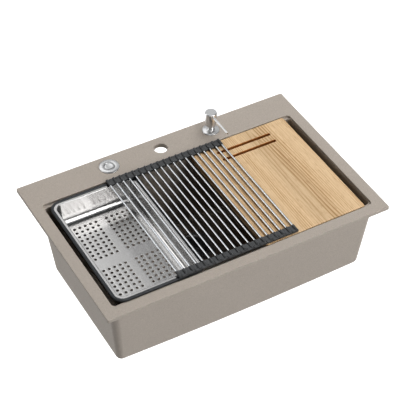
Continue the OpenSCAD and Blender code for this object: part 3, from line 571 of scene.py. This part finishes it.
class SINK_OT_granite(bpy.types.Operator):
    """Deck and bowl of cast granite, with the accessory ledges and three holes"""
    bl_idname = "sink.granite"
    bl_label = "Granite body"

    # Shares of the half length where the underside bends: flat, gentle slope, steep end
    FLAT, SLOPE = 0.21, 0.6
    # Height of the underside over its middle at the end of the gentle slope and at the walls
    SLOPE_RISE, END_RISE = 2.22, 6.0

    def risen(self, loop):
        """The underside rises from its flat middle to both ends."""
        reach = max(point[0] for point in loop)
        result = []
        for x, y, z in loop:
            share = abs(x) / reach
            if share < self.SLOPE:
                rise = self.SLOPE_RISE * (share - self.FLAT) / (self.SLOPE - self.FLAT)
            else:
                rise = (self.SLOPE_RISE + (self.END_RISE - self.SLOPE_RISE)
                        * (share - self.SLOPE) / (1 - self.SLOPE))
            result.append((x, y, z + max(rise, 0.0)))
        return result

    def execute(self, context):
        settings = context.scene.sink_granite
        deck_size = [DECK_HIGH[i] - DECK_LOW[i] for i in (0, 1)]
        edge = settings.edge / MM
        opening = (700.0, 385.0)
        # Outside of the bowl where it meets the deck, and the ledges' inner edge
        outside = (716.0, 394.0)
        ledge = (699.0, 367.0)
        # The wall's height, the radius at its foot and how far it leans in there, outside and
        # at the same slope inside
        outer_height, outer_cove, outer_lean = 217.0, 15.0, 19.0
        inner_height, inner_cove = 199.0, 14.0
        inner_lean = outer_lean / outer_height * inner_height
        floor_at = -193.0
        waste_hole = 45.0
        shares = (self.SLOPE, self.FLAT, -self.FLAT, -self.SLOPE)

        def bowl(size, grown, radius, height):
            return with_sides(rounded_loop(size[0] + 2 * grown, size[1] + 2 * grown, radius,
                                           height, (0.0, BOWL_Y)), shares)

        def deck(grown, radius, height):
            return with_sides(rounded_loop(deck_size[0] + 2 * grown, deck_size[1] + 2 * grown,
                                           radius, height), shares)

        # Outside, from the waste's hole over the sole and up the wall to the deck
        inset = outer_lean + outer_cove
        base = bowl(outside, -inset, 1.0, SOLE)
        loops = [round_loop_towards(waste_hole, SOLE, WASTE_AT, base)]
        loops += [self.risen(bowl(outside, u - inset, 1.0 + u * (outer_cove - 1.0) / outer_cove,
                                  SOLE + outer_cove + v)) for u, v in arc(-90, 0, outer_cove)]
        loops.append(bowl(outside, 0, 20.0, -3.0))
        loops += [bowl(outside, 3 + u, 23.0 + u, -3.0 + v) for u, v in arc(180, 90, 3.0)]
        # The deck's lower and upper edge
        loops += [deck(u - 0.8, 3.2 + u, 0.8 + v) for u, v in arc(-90, 0, 0.8)]
        loops += [deck(u - edge, 4.0 + u - edge, DECK_TOP - edge + v)
                  for u, v in arc(0, 90, edge)]
        # The opening's edge and the step of the ledges, which the ends nearly lack
        loops += [bowl(opening, edge + u, 10.0 + edge + u, DECK_TOP - edge + v)
                  for u, v in arc(90, 180, edge)]
        loops.append(bowl(opening, 0, 10.0, 3.6))
        loops.append(bowl((opening[0] - 0.4, opening[1] - 1.2), 0, 9.6, 3.0))
        for u, v in arc(90, 180, 1.2):
            grown = 2 * (1.2 + u)
            loops.append(bowl((ledge[0] + 0.1 * grown, ledge[1] + grown), 0, 12.0 + u, 1.8 + v))
        # Down the inner wall, and over the floor to the waste's seat
        inset = inner_lean + inner_cove
        loops += [bowl(ledge, -inset - u, 1.0 - u * (inner_cove - 1.0) / inner_cove,
                       floor_at + inner_cove + v) for u, v in arc(180, 270, inner_cove)]
        inner = bowl(ledge, -inset, 1.0, floor_at)
        for radius, height in ((61.0, -196.0), (59.5, -196.0), (58.2, -196.4), (58.0, -197.2),
                               (58.0, -202.8), (waste_hole, -202.8)):
            loops.append(round_loop_towards(radius, height, WASTE_AT, inner))
        body = loft("granite_body", loops, closed=True, merge=True)
        # The deck is thicker along the row of holes
        row, spacing, bore = 210.0, 145.0, 17.5
        pad = loft("pad", [rounded_loop(352, 54, 4, z, (0, row)) for z in (-3, 4)])
        carve(body, [pad], "UNION")
        profile = eased([(0, -8), (bore, -8), (bore, DECK_TOP - 0.9),
                         (bore + 2.1, DECK_TOP + 1.2), (0, DECK_TOP + 1.2)], 0.6, 3)
        carve(body, [turned("drill", profile, (x, row), 64) for x in (-spacing, 0.0, spacing)])
        shade(body)
        finish = granite_finish(settings.colour, settings.dark_fleck, settings.light_fleck,
                                settings.grain / MM)
        settle(body, "sink", finish, "sink_body")
        return {"FINISHED"}


# Colander ------------------------------------------------------------------

def ring_cell(name, pitch, hole, count, pierced):
    """One square of the pan's floor, with or without its drain hole."""
    mesh = bmesh.new()
    side = count // 4
    border = []
    for (sx, sy), (tx, ty) in zip(((1, -1), (1, 1), (-1, 1), (-1, -1)),
                                  ((0, 1), (-1, 0), (0, -1), (1, 0))):
        for i in range(side):
            border.append((sx * pitch / 2 + tx * pitch * i / side,
                           sy * pitch / 2 + ty * pitch * i / side, 0))
    outer = [mesh.verts.new(Vector(point) * MM) for point in border]
    if not pierced:
        mesh.faces.new(outer)
        return new_piece(name, mesh)
    for radius, drop in ((hole + 0.25, 0), (hole, -0.25)):
        ring = []
        for i in range(count):
            angle = -pi / 4 + 2 * pi * i / count
            point = Vector((radius * cos(angle), radius * sin(angle), drop))
            ring.append(mesh.verts.new(point * MM))
        for i in range(count):
            j = (i + 1) % count
            mesh.faces.new((outer[i], outer[j], ring[j], ring[i]))
        outer = ring
    return new_piece(name, mesh)


def field_tree(name):
    """Geometry Nodes that lay a cell on each point of a grid which is, or isn't, in the
    plain cross between the four groups of holes."""
    tree, source = node_tree(name, {
        "Cell": "Object", "Columns": "Int", "Rows": "Int", "Pitch": "Float", "Plain": "Bool",
        "Centre": "Vector", "Plain half width": "Float", "Plain half depth": "Float",
        "Material": "Material"})
    steps = [add(tree, "ShaderNodeMath", {0: source[axis], 1: 1}, operation="SUBTRACT")
             for axis in ("Columns", "Rows")]
    sizes = [add(tree, "ShaderNodeMath", {0: step, 1: source["Pitch"]}, operation="MULTIPLY")
             for step in steps]
    grid = add(tree, "GeometryNodeMeshGrid", {
        "Size X": sizes[0], "Size Y": sizes[1],
        "Vertices X": source["Columns"], "Vertices Y": source["Rows"]})
    place = add(tree, "ShaderNodeSeparateXYZ", {"Vector": add(tree, "GeometryNodeInputPosition")})
    inside = []
    for axis, limit in (("X", "Plain half width"), ("Y", "Plain half depth")):
        size = add(tree, "ShaderNodeMath", {0: place.outputs[axis]}, operation="ABSOLUTE")
        inside.append(add(tree, "FunctionNodeCompare", {0: size, 1: source[limit]},
                          operation="LESS_THAN", data_type="FLOAT"))
    plain_here = add(tree, "FunctionNodeBooleanMath", dict(enumerate(inside)), operation="OR")
    chosen = add(tree, "FunctionNodeBooleanMath", {0: plain_here, 1: source["Plain"]},
                 operation="XNOR")
    cell = add(tree, "GeometryNodeObjectInfo", {"Object": source["Cell"]}).outputs["Geometry"]
    laid = add(tree, "GeometryNodeInstanceOnPoints", {
        "Points": grid, "Selection": chosen, "Instance": cell})
    moved = add(tree, "GeometryNodeTransform", {"Geometry": laid, "Translation": source["Centre"]})
    return end_tree(tree, moved, source["Material"])


class SINK_OT_colander(bpy.types.Operator):
    """Pressed steel pan with four groups of drain holes, and its soft edge trim"""
    bl_idname = "sink.colander"
    bl_label = "Colander"

    def execute(self, context):
        steel, strip = context.scene.sink_steel, context.scene.sink_strip
        # Pressed and polished sheet: bright, with streaks along its depth and a slow wave
        finish = steel_finish("pressed_stainless_steel", steel.pan, 0.22, 0.5, "x", 0.01, 0.06)
        centre = middle("colander_trim")[:2]
        rim = [RIM_HIGH[i] - RIM_LOW[i] for i in (0, 1)]
        top = PAN_HIGH[2]
        floor = PAN_LOW[2] + steel.sheet / MM
        pitch, columns, rows = 14.5, 11, 20
        floor_centre = (centre[0] * MM, centre[1] * MM, floor * MM)
        tree = field_tree("drain_field")
        cells = [ring_cell("cell", pitch, steel.hole / MM, 20, pierced)
                 for pierced in (True, False)]
        pieces = [grow("field", tree, {
            "Cell": cell, "Columns": columns, "Rows": rows, "Pitch": pitch * MM,
            "Plain": is_plain, "Centre": floor_centre, "Plain half width": pitch / 2 * MM,
            "Plain half depth": pitch * MM, "Material": finish})
            for cell, is_plain in zip(cells, (False, True))]

        # The wall stands this far inside the trim. Its upper edge is rolled outwards and
        # runs on as a flange under the trim.
        inset, flange, flange_corner = 14.8, 11.68, 25.8
        corner, cove, lean, roll, wall_steps = 18.1, 18.0, 2.0, 2.2, 4
        tight = corner - 0.1

        def plan(inward, height, radius):
            return rounded_loop(rim[0] - 2 * (inset + inward), rim[1] - 2 * (inset + inward),
                                radius, height, centre, 12)

        loops = [plan(-flange, top, flange_corner), plan(-roll - 0.3, top, corner + roll)]
        loops += [plan(v - roll, top + u - roll, corner + roll - v)
                  for u, v in arc(0, 90, roll, 6)[1:]]
        for share in spread(0, 1, wall_steps)[1:]:
            loops.append(plan(lean * share, top - roll + (floor + cove - top + roll) * share,
                              corner + (tight - corner) * share))
        loops += [plan(lean + cove - u, floor + cove - v, max(tight - cove + u, 0.4))
                  for u, v in arc(0, 90, cove, 10)[1:]]
        wall = loft("colander_pan_wall", loops[::-1], first_cap=False, last_cap=False)
        mesh = bmesh.new()
        for piece in (*pieces, wall):
            mesh.from_mesh(piece.data)
        bmesh.ops.remove_doubles(mesh, verts=mesh.verts, dist=2e-6)
        # The floor between the field of cells and the wall's foot
        border = [line for line in mesh.edges if len(line.link_faces) == 1
                  and all(abs(v.co.z - floor * MM) < 1e-6 for v in line.verts)]
        bmesh.ops.triangle_fill(mesh, edges=border, use_beauty=True, normal=(0, 0, 1))
        bmesh.ops.recalc_face_normals(mesh, faces=mesh.faces)
        here = Vector(floor_centre)
        middle_face = min(mesh.faces, key=lambda face: (face.calc_center_median() - here).length)
        if middle_face.normal.z < 0:
            bmesh.ops.reverse_faces(mesh, faces=mesh.faces)
        pan = new_piece("colander_pan_steel", mesh)
        discard(*pieces, wall, *cells)
        skin = pan.modifiers.new("sheet", "SOLIDIFY")
        skin.thickness = steel.sheet
        skin.offset = -1
        plain(pan)
        shade(pan, 50)
        settle(pan, "colander", finish, "colander_pan")

        # Section of the trim, as inset from the rim and height: a lip with two beads
        # above, and a groove that holds the pan's edge
        foot = RIM_LOW[2]
        section = [(7.8, top + 0.05), (7.8, 6.9), (6.9, 8.0), (5.3, 8.25), (4.8, 7.75),
                   (4.2, 7.75), (3.7, 8.45), (2.7, 8.6), (0.9, 7.2), (0.0, 5.2), (0.0, foot),
                   (7.8, foot), (7.8, top - 1.25), (3.07, top - 1.25), (3.07, top + 0.05)]
        loops = [rounded_loop(rim[0] - 2 * inward, rim[1] - 2 * inward, 29.0 - inward, height,
                              centre, 16) for inward, height in eased(section, 0.5, 3, closed=True)]
        trim = loft("colander_edge_trim", loops, closed=True, merge=True)
        shade(trim, 40)
        settle(trim, "colander",
               soft_finish("moulded_silicone_trim", strip.trim, 0.42), "colander_trim")
        return {"FINISHED"}


# Board ---------------------------------------------------------------------

class SINK_OT_board(bpy.types.Operator):
    """Solid wood board with rebated ends and two slots"""
    bl_idname = "sink.board"
    bl_label = "Cutting board"

    # Places of the slots behind the board's centre, and their length between the round ends
    SLOTS = (150.5, 122.0)
    SLOT_RUN = 147.0

    def execute(self, context):
        wood = context.scene.sink_wood
        centre = [(BOARD_LOW[i] + BOARD_HIGH[i]) / 2 for i in (0, 1)]
        length, depth = (BOARD_HIGH[i] - BOARD_LOW[i] for i in (0, 1))
        top, bottom = BOARD_HIGH[2], BOARD_LOW[2]
        # Height of the rebates' faces, just over the sink's ledges, and how far they reach in
        ledge, rebate = 3.2, 9.0
        lower = length - 0.2
        lower_depth = depth - 2 * rebate

        def plan(run, width, radius, height):
            return rounded_loop(run, width, radius, height, centre, 8)

        loops = [plan(lower - 2 + 2 * v, lower_depth - 2 + 2 * v, 4 + v, bottom + 1 - u)
                 for u, v in arc(0, 90, 1.0, 4)]
        loops += [plan(lower, lower_depth, 5, ledge - 0.4),
                  plan(lower + 0.1, lower_depth + 0.8, 5, ledge),
                  plan(length, depth - 0.8, 5, ledge), plan(length, depth, 5, ledge + 0.4)]
        loops += [plan(length - 3 + 2 * u, depth - 3 + 2 * u, 3.5 + u, top - 1.5 + v)
                  for u, v in arc(0, 90, 1.5, 6)]
        board = loft("cutting_board_wood", loops)
        # Each slot has a small chamfer at the lower and the upper face
        for place in self.SLOTS:
            loops = [rounded_loop(self.SLOT_RUN + 2 * r, 2 * r, r - 0.02, z,
                                  (centre[0], centre[1] + place), 10)
                     for r, z in ((5.0, bottom - 1), (4.7, bottom - 0.01), (4.0, bottom + 0.7),
                                  (4.0, top - 0.4), (4.4, top + 0.01), (4.8, top + 1))]
            carve(board, [loft("slot", loops)])
        shade(board, 40)
        # The trunk's heart lies below the board
        heart = (centre[0] + 42, centre[1] - 40, -12.0)
        ring = wood.ring / MM
        settle(board, "board",
               wood_finish("oiled_hardwood", wood.light, wood.dark, wood.pore, ring, heart),
               "cutting_board")
        # Painted shade: the slots' walls get a darker, warmer copy of the wood finish, which stands
        # in for the shade inside the slots
        board.data.materials.append(wood_finish("routed_hardwood", wood.slot_shade_early,
                                                wood.slot_shade_late, wood.pore, ring, heart))
        # The faces of the slots' walls take the copy with painted shade
        for face in board.data.polygons:
            x, y = (face.center[i] / MM - centre[i] for i in (0, 1))
            in_slot = abs(x) < 80 and min(abs(y - place) for place in self.SLOTS) < 5
            if in_slot and abs(face.normal[2]) < 0.9:
                face.material_index = 1
        return {"FINISHED"}


# Rack ----------------------------------------------------------------------

def sleeve_outline(radius, gap, pitch, web, rise, steps=20):
    """Outline of a sleeve round one bar and the web to the next sleeve, seen along the bar."""
    top, low, clear = rise, rise - web, radius + gap
    start = atan2(low, sqrt(radius ** 2 - low ** 2))
    stop = atan2(top, sqrt(radius ** 2 - top ** 2))
    points = [(radius * cos(angle), radius * sin(angle))
              for angle in spread(stop, 2 * pi + start, steps)]
    first = pi + atan2(-low, sqrt(clear ** 2 - low ** 2))
    last = pi - atan2(top, sqrt(clear ** 2 - top ** 2))
    points += [(pitch + clear * cos(angle), clear * sin(angle))
               for angle in spread(first, last, 6)]
    return eased(points, 0.35, 2, closed=True)


def prism(name, outline, start, stop, ease=0.35):
    """A solid with this outline across the bars, between two places along them."""
    centre = Vector((sum(p[0] for p in outline), sum(p[1] for p in outline))) / len(outline)
    loops = []
    for y, shrink in ((start, ease), (start + ease * 0.3, ease * 0.3), (start + ease, 0),
                      (stop - ease, 0), (stop - ease * 0.3, ease * 0.3), (stop, ease)):
        loop = []
        for x, z in outline:
            away = Vector((x, z)) - centre
            factor = 1 - shrink / max(away.length, 1e-6)
            loop.append((centre[0] + away[0] * factor, y, centre[1] + away[1] * factor))
        loops.append(loop)
    return loft(name, loops, merge=True)


def mirrored(piece):
    """The same piece on the other side of the bars' middle."""
    mesh = bmesh.new()
    mesh.from_mesh(piece.data)
    bmesh.ops.transform(mesh, verts=mesh.verts, matrix=Matrix.Diagonal((1, -1, 1, 1)))
    bmesh.ops.reverse_faces(mesh, faces=mesh.faces)
    return new_piece(piece.name + "_mirrored", mesh)


def rack_tree(name):
    """Geometry Nodes that put a bar, or its two end links, at their place in the rack."""
    tree, source = node_tree(name, {
        "Front": "Object", "Rear": "Object", "Index": "Int", "Pitch": "Float",
        "First place": "Vector", "Material": "Material"})
    along = add(tree, "ShaderNodeMath", {0: source["Index"], 1: source["Pitch"]},
                operation="MULTIPLY")
    step = add(tree, "ShaderNodeCombineXYZ", {"X": along})
    place = add(tree, "ShaderNodeVectorMath", {0: source["First place"], 1: step},
                operation="ADD")
    point = add(tree, "GeometryNodeMeshLine", {"Count": 1, "Start Location": place})
    both = add(tree, "GeometryNodeJoinGeometry")
    for label in ("Front", "Rear"):
        shape = add(tree, "GeometryNodeObjectInfo", {"Object": source[label]})
        feed(tree, both, {"Geometry": add(tree, "GeometryNodeInstanceOnPoints", {
            "Points": point, "Instance": shape.outputs["Geometry"]})})
    return end_tree(tree, both, source["Material"])


class SINK_OT_rack(bpy.types.Operator):
    """Steel bars with silicone links at both ends, each link turning on the next bar"""
    bl_idname = "sink.rack"
    bl_label = "Roll-up rack"

    def execute(self, context):
        strip, steel = context.scene.sink_strip, context.scene.sink_steel
        web, sleeve_radius, width = (size / MM for size in (strip.web, strip.sleeve, strip.width))
        low, high = span("rack_bar_01")
        radius, half_bar = (high[0] - low[0]) / 2, (high[1] - low[1]) / 2
        low, high = span("rack_links_01")
        half = (high[1] - low[1]) / 2
        # Length of the eye on the next bar, air between sleeve and web, running clearance,
        # and the web's upper face over the bar's middle
        eye, gap, clearance, rise = 6.2, 1.0, 0.05, web * 0.32
        # Polished bar: a narrow bright line along it. Silicone: dark grey and nearly matt.
        bar_finish = steel_finish("polished_steel_bar", steel.bar, 0.2, 0.3, "xz", 0.02)
        link_finish = soft_finish("moulded_dark_silicone", strip.link, 0.5)
        tree = rack_tree("rack_row")
        nothing = new_piece("nothing", bmesh.new())

        def link(first, last):
            """One rear link, with the blind end of its eye at y = half, as a plain mesh."""
            inner = sleeve_outline(sleeve_radius, gap, PITCH, web, rise)
            outer = [(PITCH - x, z) for x, z in inner][::-1]
            sleeve = circle(sleeve_radius)
            start, split = half - width, half - eye
            bore, blind = radius + clearance, half_bar + clearance
            if last:
                body = prism("link", sleeve, start, split - 0.2)
            else:
                body = prism("link", inner, start, split - 0.1)
                # The web runs on past the sleeve; the eye starts clear of the next sleeve
                left, right = sleeve_radius + gap + 0.5, PITCH - sleeve_radius - gap - 0.5
                low, high = rise - web + 0.3, rise - 0.3
                bridge = [(left, low), (right, low), (right, high), (left, high)]
                carve(body, [prism("web", bridge, split - 0.8, split + 0.8, 0.1),
                             prism("eye", outer, split + 0.1, half)], "UNION")
                if first:
                    carve(body, [prism("end", sleeve, split - 1, half)], "UNION")
            bores = [rod("bore", 0.0, ((start - 2, bore), (blind if first else half + 2, bore)))]
            if not last:
                bores.append(rod("bore", PITCH, ((split - 0.4, bore), (blind, bore))))
            return carve(body, bores)

        bar = rod("bar", 0.0, ((-half_bar, radius - 0.4), (-half_bar + 0.4, radius),
                               (half_bar - 0.4, radius), (half_bar, radius - 0.4)), 40)
        first_place = [value * MM for value in RACK_AT]
        last_index = BARS - 1
        for index in range(BARS):
            label = f"{index + 1:02d}"
            if index in (0, 1, last_index):
                rear = link(index == 0, index == last_index)
                front = mirrored(rear)
            values = {"Index": index, "Pitch": PITCH * MM, "First place": first_place}
            rods = grow("rack_rod_" + label, tree, {
                **values, "Front": bar, "Rear": nothing, "Material": bar_finish})
            pair = grow("rack_strip_" + label, tree, {
                **values, "Front": front, "Rear": rear, "Material": link_finish})
            for piece, slot, finish, node in (
                    (rods, "bar_steel", bar_finish, "rack_bar_"),
                    (pair, "link_silicone", link_finish, "rack_links_")):
                shade(piece, 40)
                settle(piece, "rack_" + label, finish, node + label)
            if index in (0, last_index - 1, last_index):
                discard(rear, front)
        discard(bar, nothing)
        return {"FINISHED"}


# Fittings ------------------------------------------------------------------

class SINK_OT_button(bpy.types.Operator):
    """Push button of the waste: rose, shank and the button that is pressed"""
    bl_idname = "sink.button"
    bl_label = "Push button"

    def execute(self, context):
        finish = chromed_brass(context.scene.sink_steel.fitting)
        top = DECK_TOP
        # Radius and height: the rose, its shank below the deck and the cable inlet
        housing = [(13.4, top + 1.2), (14.2, top + 2.9), (16.6, top + 3.5), (19.1, top + 3.6),
                   (23.0, top + 3.0), (25.3, top + 2.2), (25.8, top + 1.2), (25.8, top + 0.1),
                   (16.0, top + 0.1), (16.0, -37.0), (4.5, -37.0), (4.5, -49.0), (2.25, -49.0),
                   (2.25, -35.0), (13.4, -35.0), (13.4, -10.8), (4.05, -10.8), (4.05, -2.8),
                   (13.4, -2.8)]
        rose = turned("button_rose", eased(housing, 0.4, 3, closed=True), BUTTON_AT)
        shade(rose)
        settle(rose, "sink", finish, "button_housing")
        low, high = span("button_cap")
        stem, crown = low[2], high[2]
        cap = [(0, crown - 0.55), (5.0, crown - 0.35), (8.6, crown), (10.6, crown - 0.1),
               (12.4, crown - 0.9), (13.0, crown - 2.0), (13.0, crown - 6.0), (4.0, crown - 6.0),
               (4.0, stem), (0, stem)]
        button = turned("waste_button", eased(cap, 0.6, 4), BUTTON_AT)
        shade(button)
        settle(button, "button", finish, "button_cap")
        return {"FINISHED"}


class SINK_OT_dispenser(bpy.types.Operator):
    """Soap dispenser: collar with its shank, and the pump head with its spout"""
    bl_idname = "sink.dispenser"
    bl_label = "Soap dispenser"

    def execute(self, context):
        finish = chromed_brass(context.scene.sink_steel.fitting)
        top = DECK_TOP
        # Radius and height: the collar, its neck and its shank below the deck
        collar = [(22.4, top + 0.1), (22.4, top + 1.0), (21.2, top + 2.0), (16.0, top + 3.3),
                  (11.0, top + 4.0), (9.0, top + 5.2), (9.0, top + 20.5), (8.5, top + 21.0),
                  (6.05, top + 21.0), (6.05, -0.8), (11.0, -0.8), (11.0, -49.0), (15.0, -49.0),
                  (15.0, top + 0.1)]
        base = turned("dispenser_base", eased(collar, 0.5, 3, closed=True), DISPENSER_AT)
        shade(base)
        settle(base, "sink", finish, "dispenser_collar")
        low, high = span("pump_head")
        foot, crown, reach = low[2], high[2], DISPENSER_AT[1] - low[1]
        # The head is a cup over the neck, with a socket for the pump's rod
        body = [(0, crown), (14.0, crown), (15.5, crown - 1.5), (15.5, foot + 14.0),
                (14.0, foot + 2.0), (12.6, foot), (9.5, foot), (9.5, 43.0), (4.05, 43.0),
                (4.05, 55.6), (0, 55.6)]
        head = turned("dispenser_head", eased(body, 0.8, 4), DISPENSER_AT)
        spout = rod("spout", 0.0, ((0.4 - reach, 2.6), (0.0, 2.6)))
        lip = rod("lip", 0.0, ((-reach, 2.3), (1.0 - reach, 2.3)))
        hole = rod("hole", 0.0, ((-reach - 2.0, 1.5), (-7.75, 1.5)))
        spout_at = Vector((*DISPENSER_AT, top + 50.0)) * MM
        for piece in (spout, lip, hole):
            piece.data.transform(Matrix.Translation(spout_at))
        carve(head, [spout, lip], "UNION")
        carve(head, [hole])
        shade(head)
        settle(head, "head", finish, "pump_head")
        return {"FINISHED"}


class SINK_OT_waste(bpy.types.Operator):
    """Strainer basket, waste and everything that hangs under the bowl and the deck"""
    bl_idname = "sink.waste"
    bl_label = "Waste and hidden parts"

    def execute(self, context):
        steel = context.scene.sink_steel
        for finish, *nodes in (
                # Spun steel: a satin disc with streaks round its axis too fine to tell apart
                (steel_finish("spun_stainless_steel", steel.waste, 0.42, 0.5, "xy"),
                 "waste_body", "strainer_basket"),
                # Moulded rubber: dead black and matt
                (soft_finish("black_rubber", linear("#1C1C1C"), 0.6),
                 "waste_top_gasket", "waste_under_gasket", "basket_seal"),
                # Moulded nylon: black with a dull shine
                (soft_finish("black_nylon", linear("#2A2A2A"), 0.45),
                 "waste_lock_nut", "button_nut", "dispenser_nut"),
                # Blown or moulded polypropylene: milky white, waxy and even
                (soft_finish("white_polypropylene", linear("#DEDED8"), 0.4, variation=0.03),
                 "waste_tail", "soap_bottle", "pump_barrel"),
                (chromed_brass(steel.fitting), "pump_rod")):
            for node in nodes:
                dress(node, finish)
        return {"FINISHED"}


# Stage ---------------------------------------------------------------------

# The camera's turn in degrees, its place in millimetres and its focal length in pixels
# of the photograph, which is 400 pixels wide
CAMERA_TURN = (-29.313, 43.003)
CAMERA_AT = (-1267.864, -2250.368, 2409.814)
FOCAL_PIXELS, PHOTO_WIDTH = 1452.85, 400
SENSOR_WIDTH = 36.0

# Each square light: its azimuth and elevation in degrees and its side in metres. All
# stand at the same distance from the sink.
LIGHTS = {"key": (108, 63, 4.2), "top": (-29, 60, 5.0), "back": (141, 44, 4.4),
          "front": (25, 42, 2.2), "low": (30, 12, 3.2), "left": (-120, 18, 3.2),
          "rear": (-170, 49, 4.2)}
LIGHT_DISTANCE = 6.0


def look(azimuth, elevation):
    """Rotation of a camera or light that faces the sink from this side, and that side."""
    a, e = radians(azimuth), radians(elevation)
    back = Vector((sin(a) * cos(e), -cos(a) * cos(e), sin(e)))
    return back.to_track_quat("Z", "Y").to_euler(), back


class SINK_OT_stage(bpy.types.Operator):
    """White floor, soft studio light and the camera"""
    bl_idname = "sink.stage"
    bl_label = "Stage"

    def execute(self, context):
        settings = context.scene.sink_stage
        scene = context.scene
        mesh = bmesh.new()
        bmesh.ops.create_grid(mesh, x_segments=2, y_segments=2, size=12.0)
        floor = new_piece("stage_floor", mesh)
        floor.data.transform(Matrix.Translation((0, 0, CAD_BOX[0][2] - 4 * MM)))
        # Matt paper, lit from behind: its own white hides the shadow, and it throws
        # no light up at the sink
        paper = finish_of("white_paper", Roughness=0.9, Base_Color=rgba(settings.floor),
                          Emission_Color=rgba((1, 1, 1)), Emission_Strength=settings.glow)[0]
        floor.data.materials.append(paper)
        floor.visible_diffuse = False

        world = bpy.data.worlds.new("studio")
        scene.world = world
        world.use_nodes = True
        # A pale room: a light band up to the height of the walls and a darker ceiling
        tree = world.node_tree
        up = add(tree, "ShaderNodeSeparateXYZ", {
            "Vector": add(tree, "ShaderNodeTexCoord").outputs["Generated"]}).outputs["Z"]
        band = add(tree, "ShaderNodeValToRGB", {"Fac": up}, (
            (0.0, (0.36, 0.36, 0.36)), (0.35, (0.33, 0.335, 0.34)), (0.75, (0.09, 0.093, 0.097))))
        feed(tree, tree.nodes["Background"], {"Color": band, "Strength": settings.fill})
        for name, (azimuth, elevation, size) in LIGHTS.items():
            data = bpy.data.lights.new(name, "AREA")
            data.size = size
            data.energy = getattr(settings, name)
            light = bpy.data.objects.new(name, data)
            light.rotation_euler, back = look(azimuth, elevation)
            light.location = back * LIGHT_DISTANCE
            # The key only lights; the overhead and the back panel only show in the metal
            light.visible_glossy = name != "key"
            light.visible_diffuse = name not in ("top", "back")
            scene.collection.objects.link(light)

        data = bpy.data.cameras.new("camera")
        data.sensor_fit = "HORIZONTAL"
        data.sensor_width = SENSOR_WIDTH
        data.lens = FOCAL_PIXELS / PHOTO_WIDTH * SENSOR_WIDTH
        data.clip_end = 50
        camera = bpy.data.objects.new("camera", data)
        camera.rotation_euler, _ = look(*CAMERA_TURN)
        camera.location = Vector(CAMERA_AT) * MM
        scene.collection.objects.link(camera)
        scene.camera = camera
        scene.view_settings.view_transform = "Standard"
        scene.view_settings.look = "High Contrast"
        return {"FINISHED"}


class SINK_PT_panel(bpy.types.Panel):
    """Sizes, colours and the operators in the sidebar"""
    bl_label = "Granite sink"
    bl_idname = "SINK_PT_panel"
    bl_space_type = "VIEW_3D"
    bl_region_type = "UI"
    bl_category = "Sink"

    def draw(self, context):
        for operator in OPERATORS:
            self.layout.operator(operator.bl_idname)
        for name, group in SETTINGS.items():
            box = self.layout.box()
            for key in group.__annotations__:
                box.prop(getattr(context.scene, name), key)


SETTINGS = {"sink_granite": GraniteSettings, "sink_steel": SteelSettings,
            "sink_strip": StripSettings, "sink_wood": WoodSettings, "sink_stage": StageSettings}
OPERATORS = (SINK_OT_granite, SINK_OT_colander, SINK_OT_board, SINK_OT_rack, SINK_OT_button,
             SINK_OT_dispenser, SINK_OT_waste, SINK_OT_stage)


def register():
    for item in (*SETTINGS.values(), *OPERATORS, SINK_PT_panel):
        bpy.utils.register_class(item)
    for name, group in SETTINGS.items():
        setattr(bpy.types.Scene, name, bpy.props.PointerProperty(type=group))


def unregister():
    for name in SETTINGS:
        delattr(bpy.types.Scene, name)
    for item in (SINK_PT_panel, *reversed(OPERATORS), *SETTINGS.values()):
        bpy.utils.unregister_class(item)


def main():
    register()
    for operator in OPERATORS:
        group, name = operator.bl_idname.split(".")
        getattr(getattr(bpy.ops, group), name)()


if __name__ == "__main__":
    main()
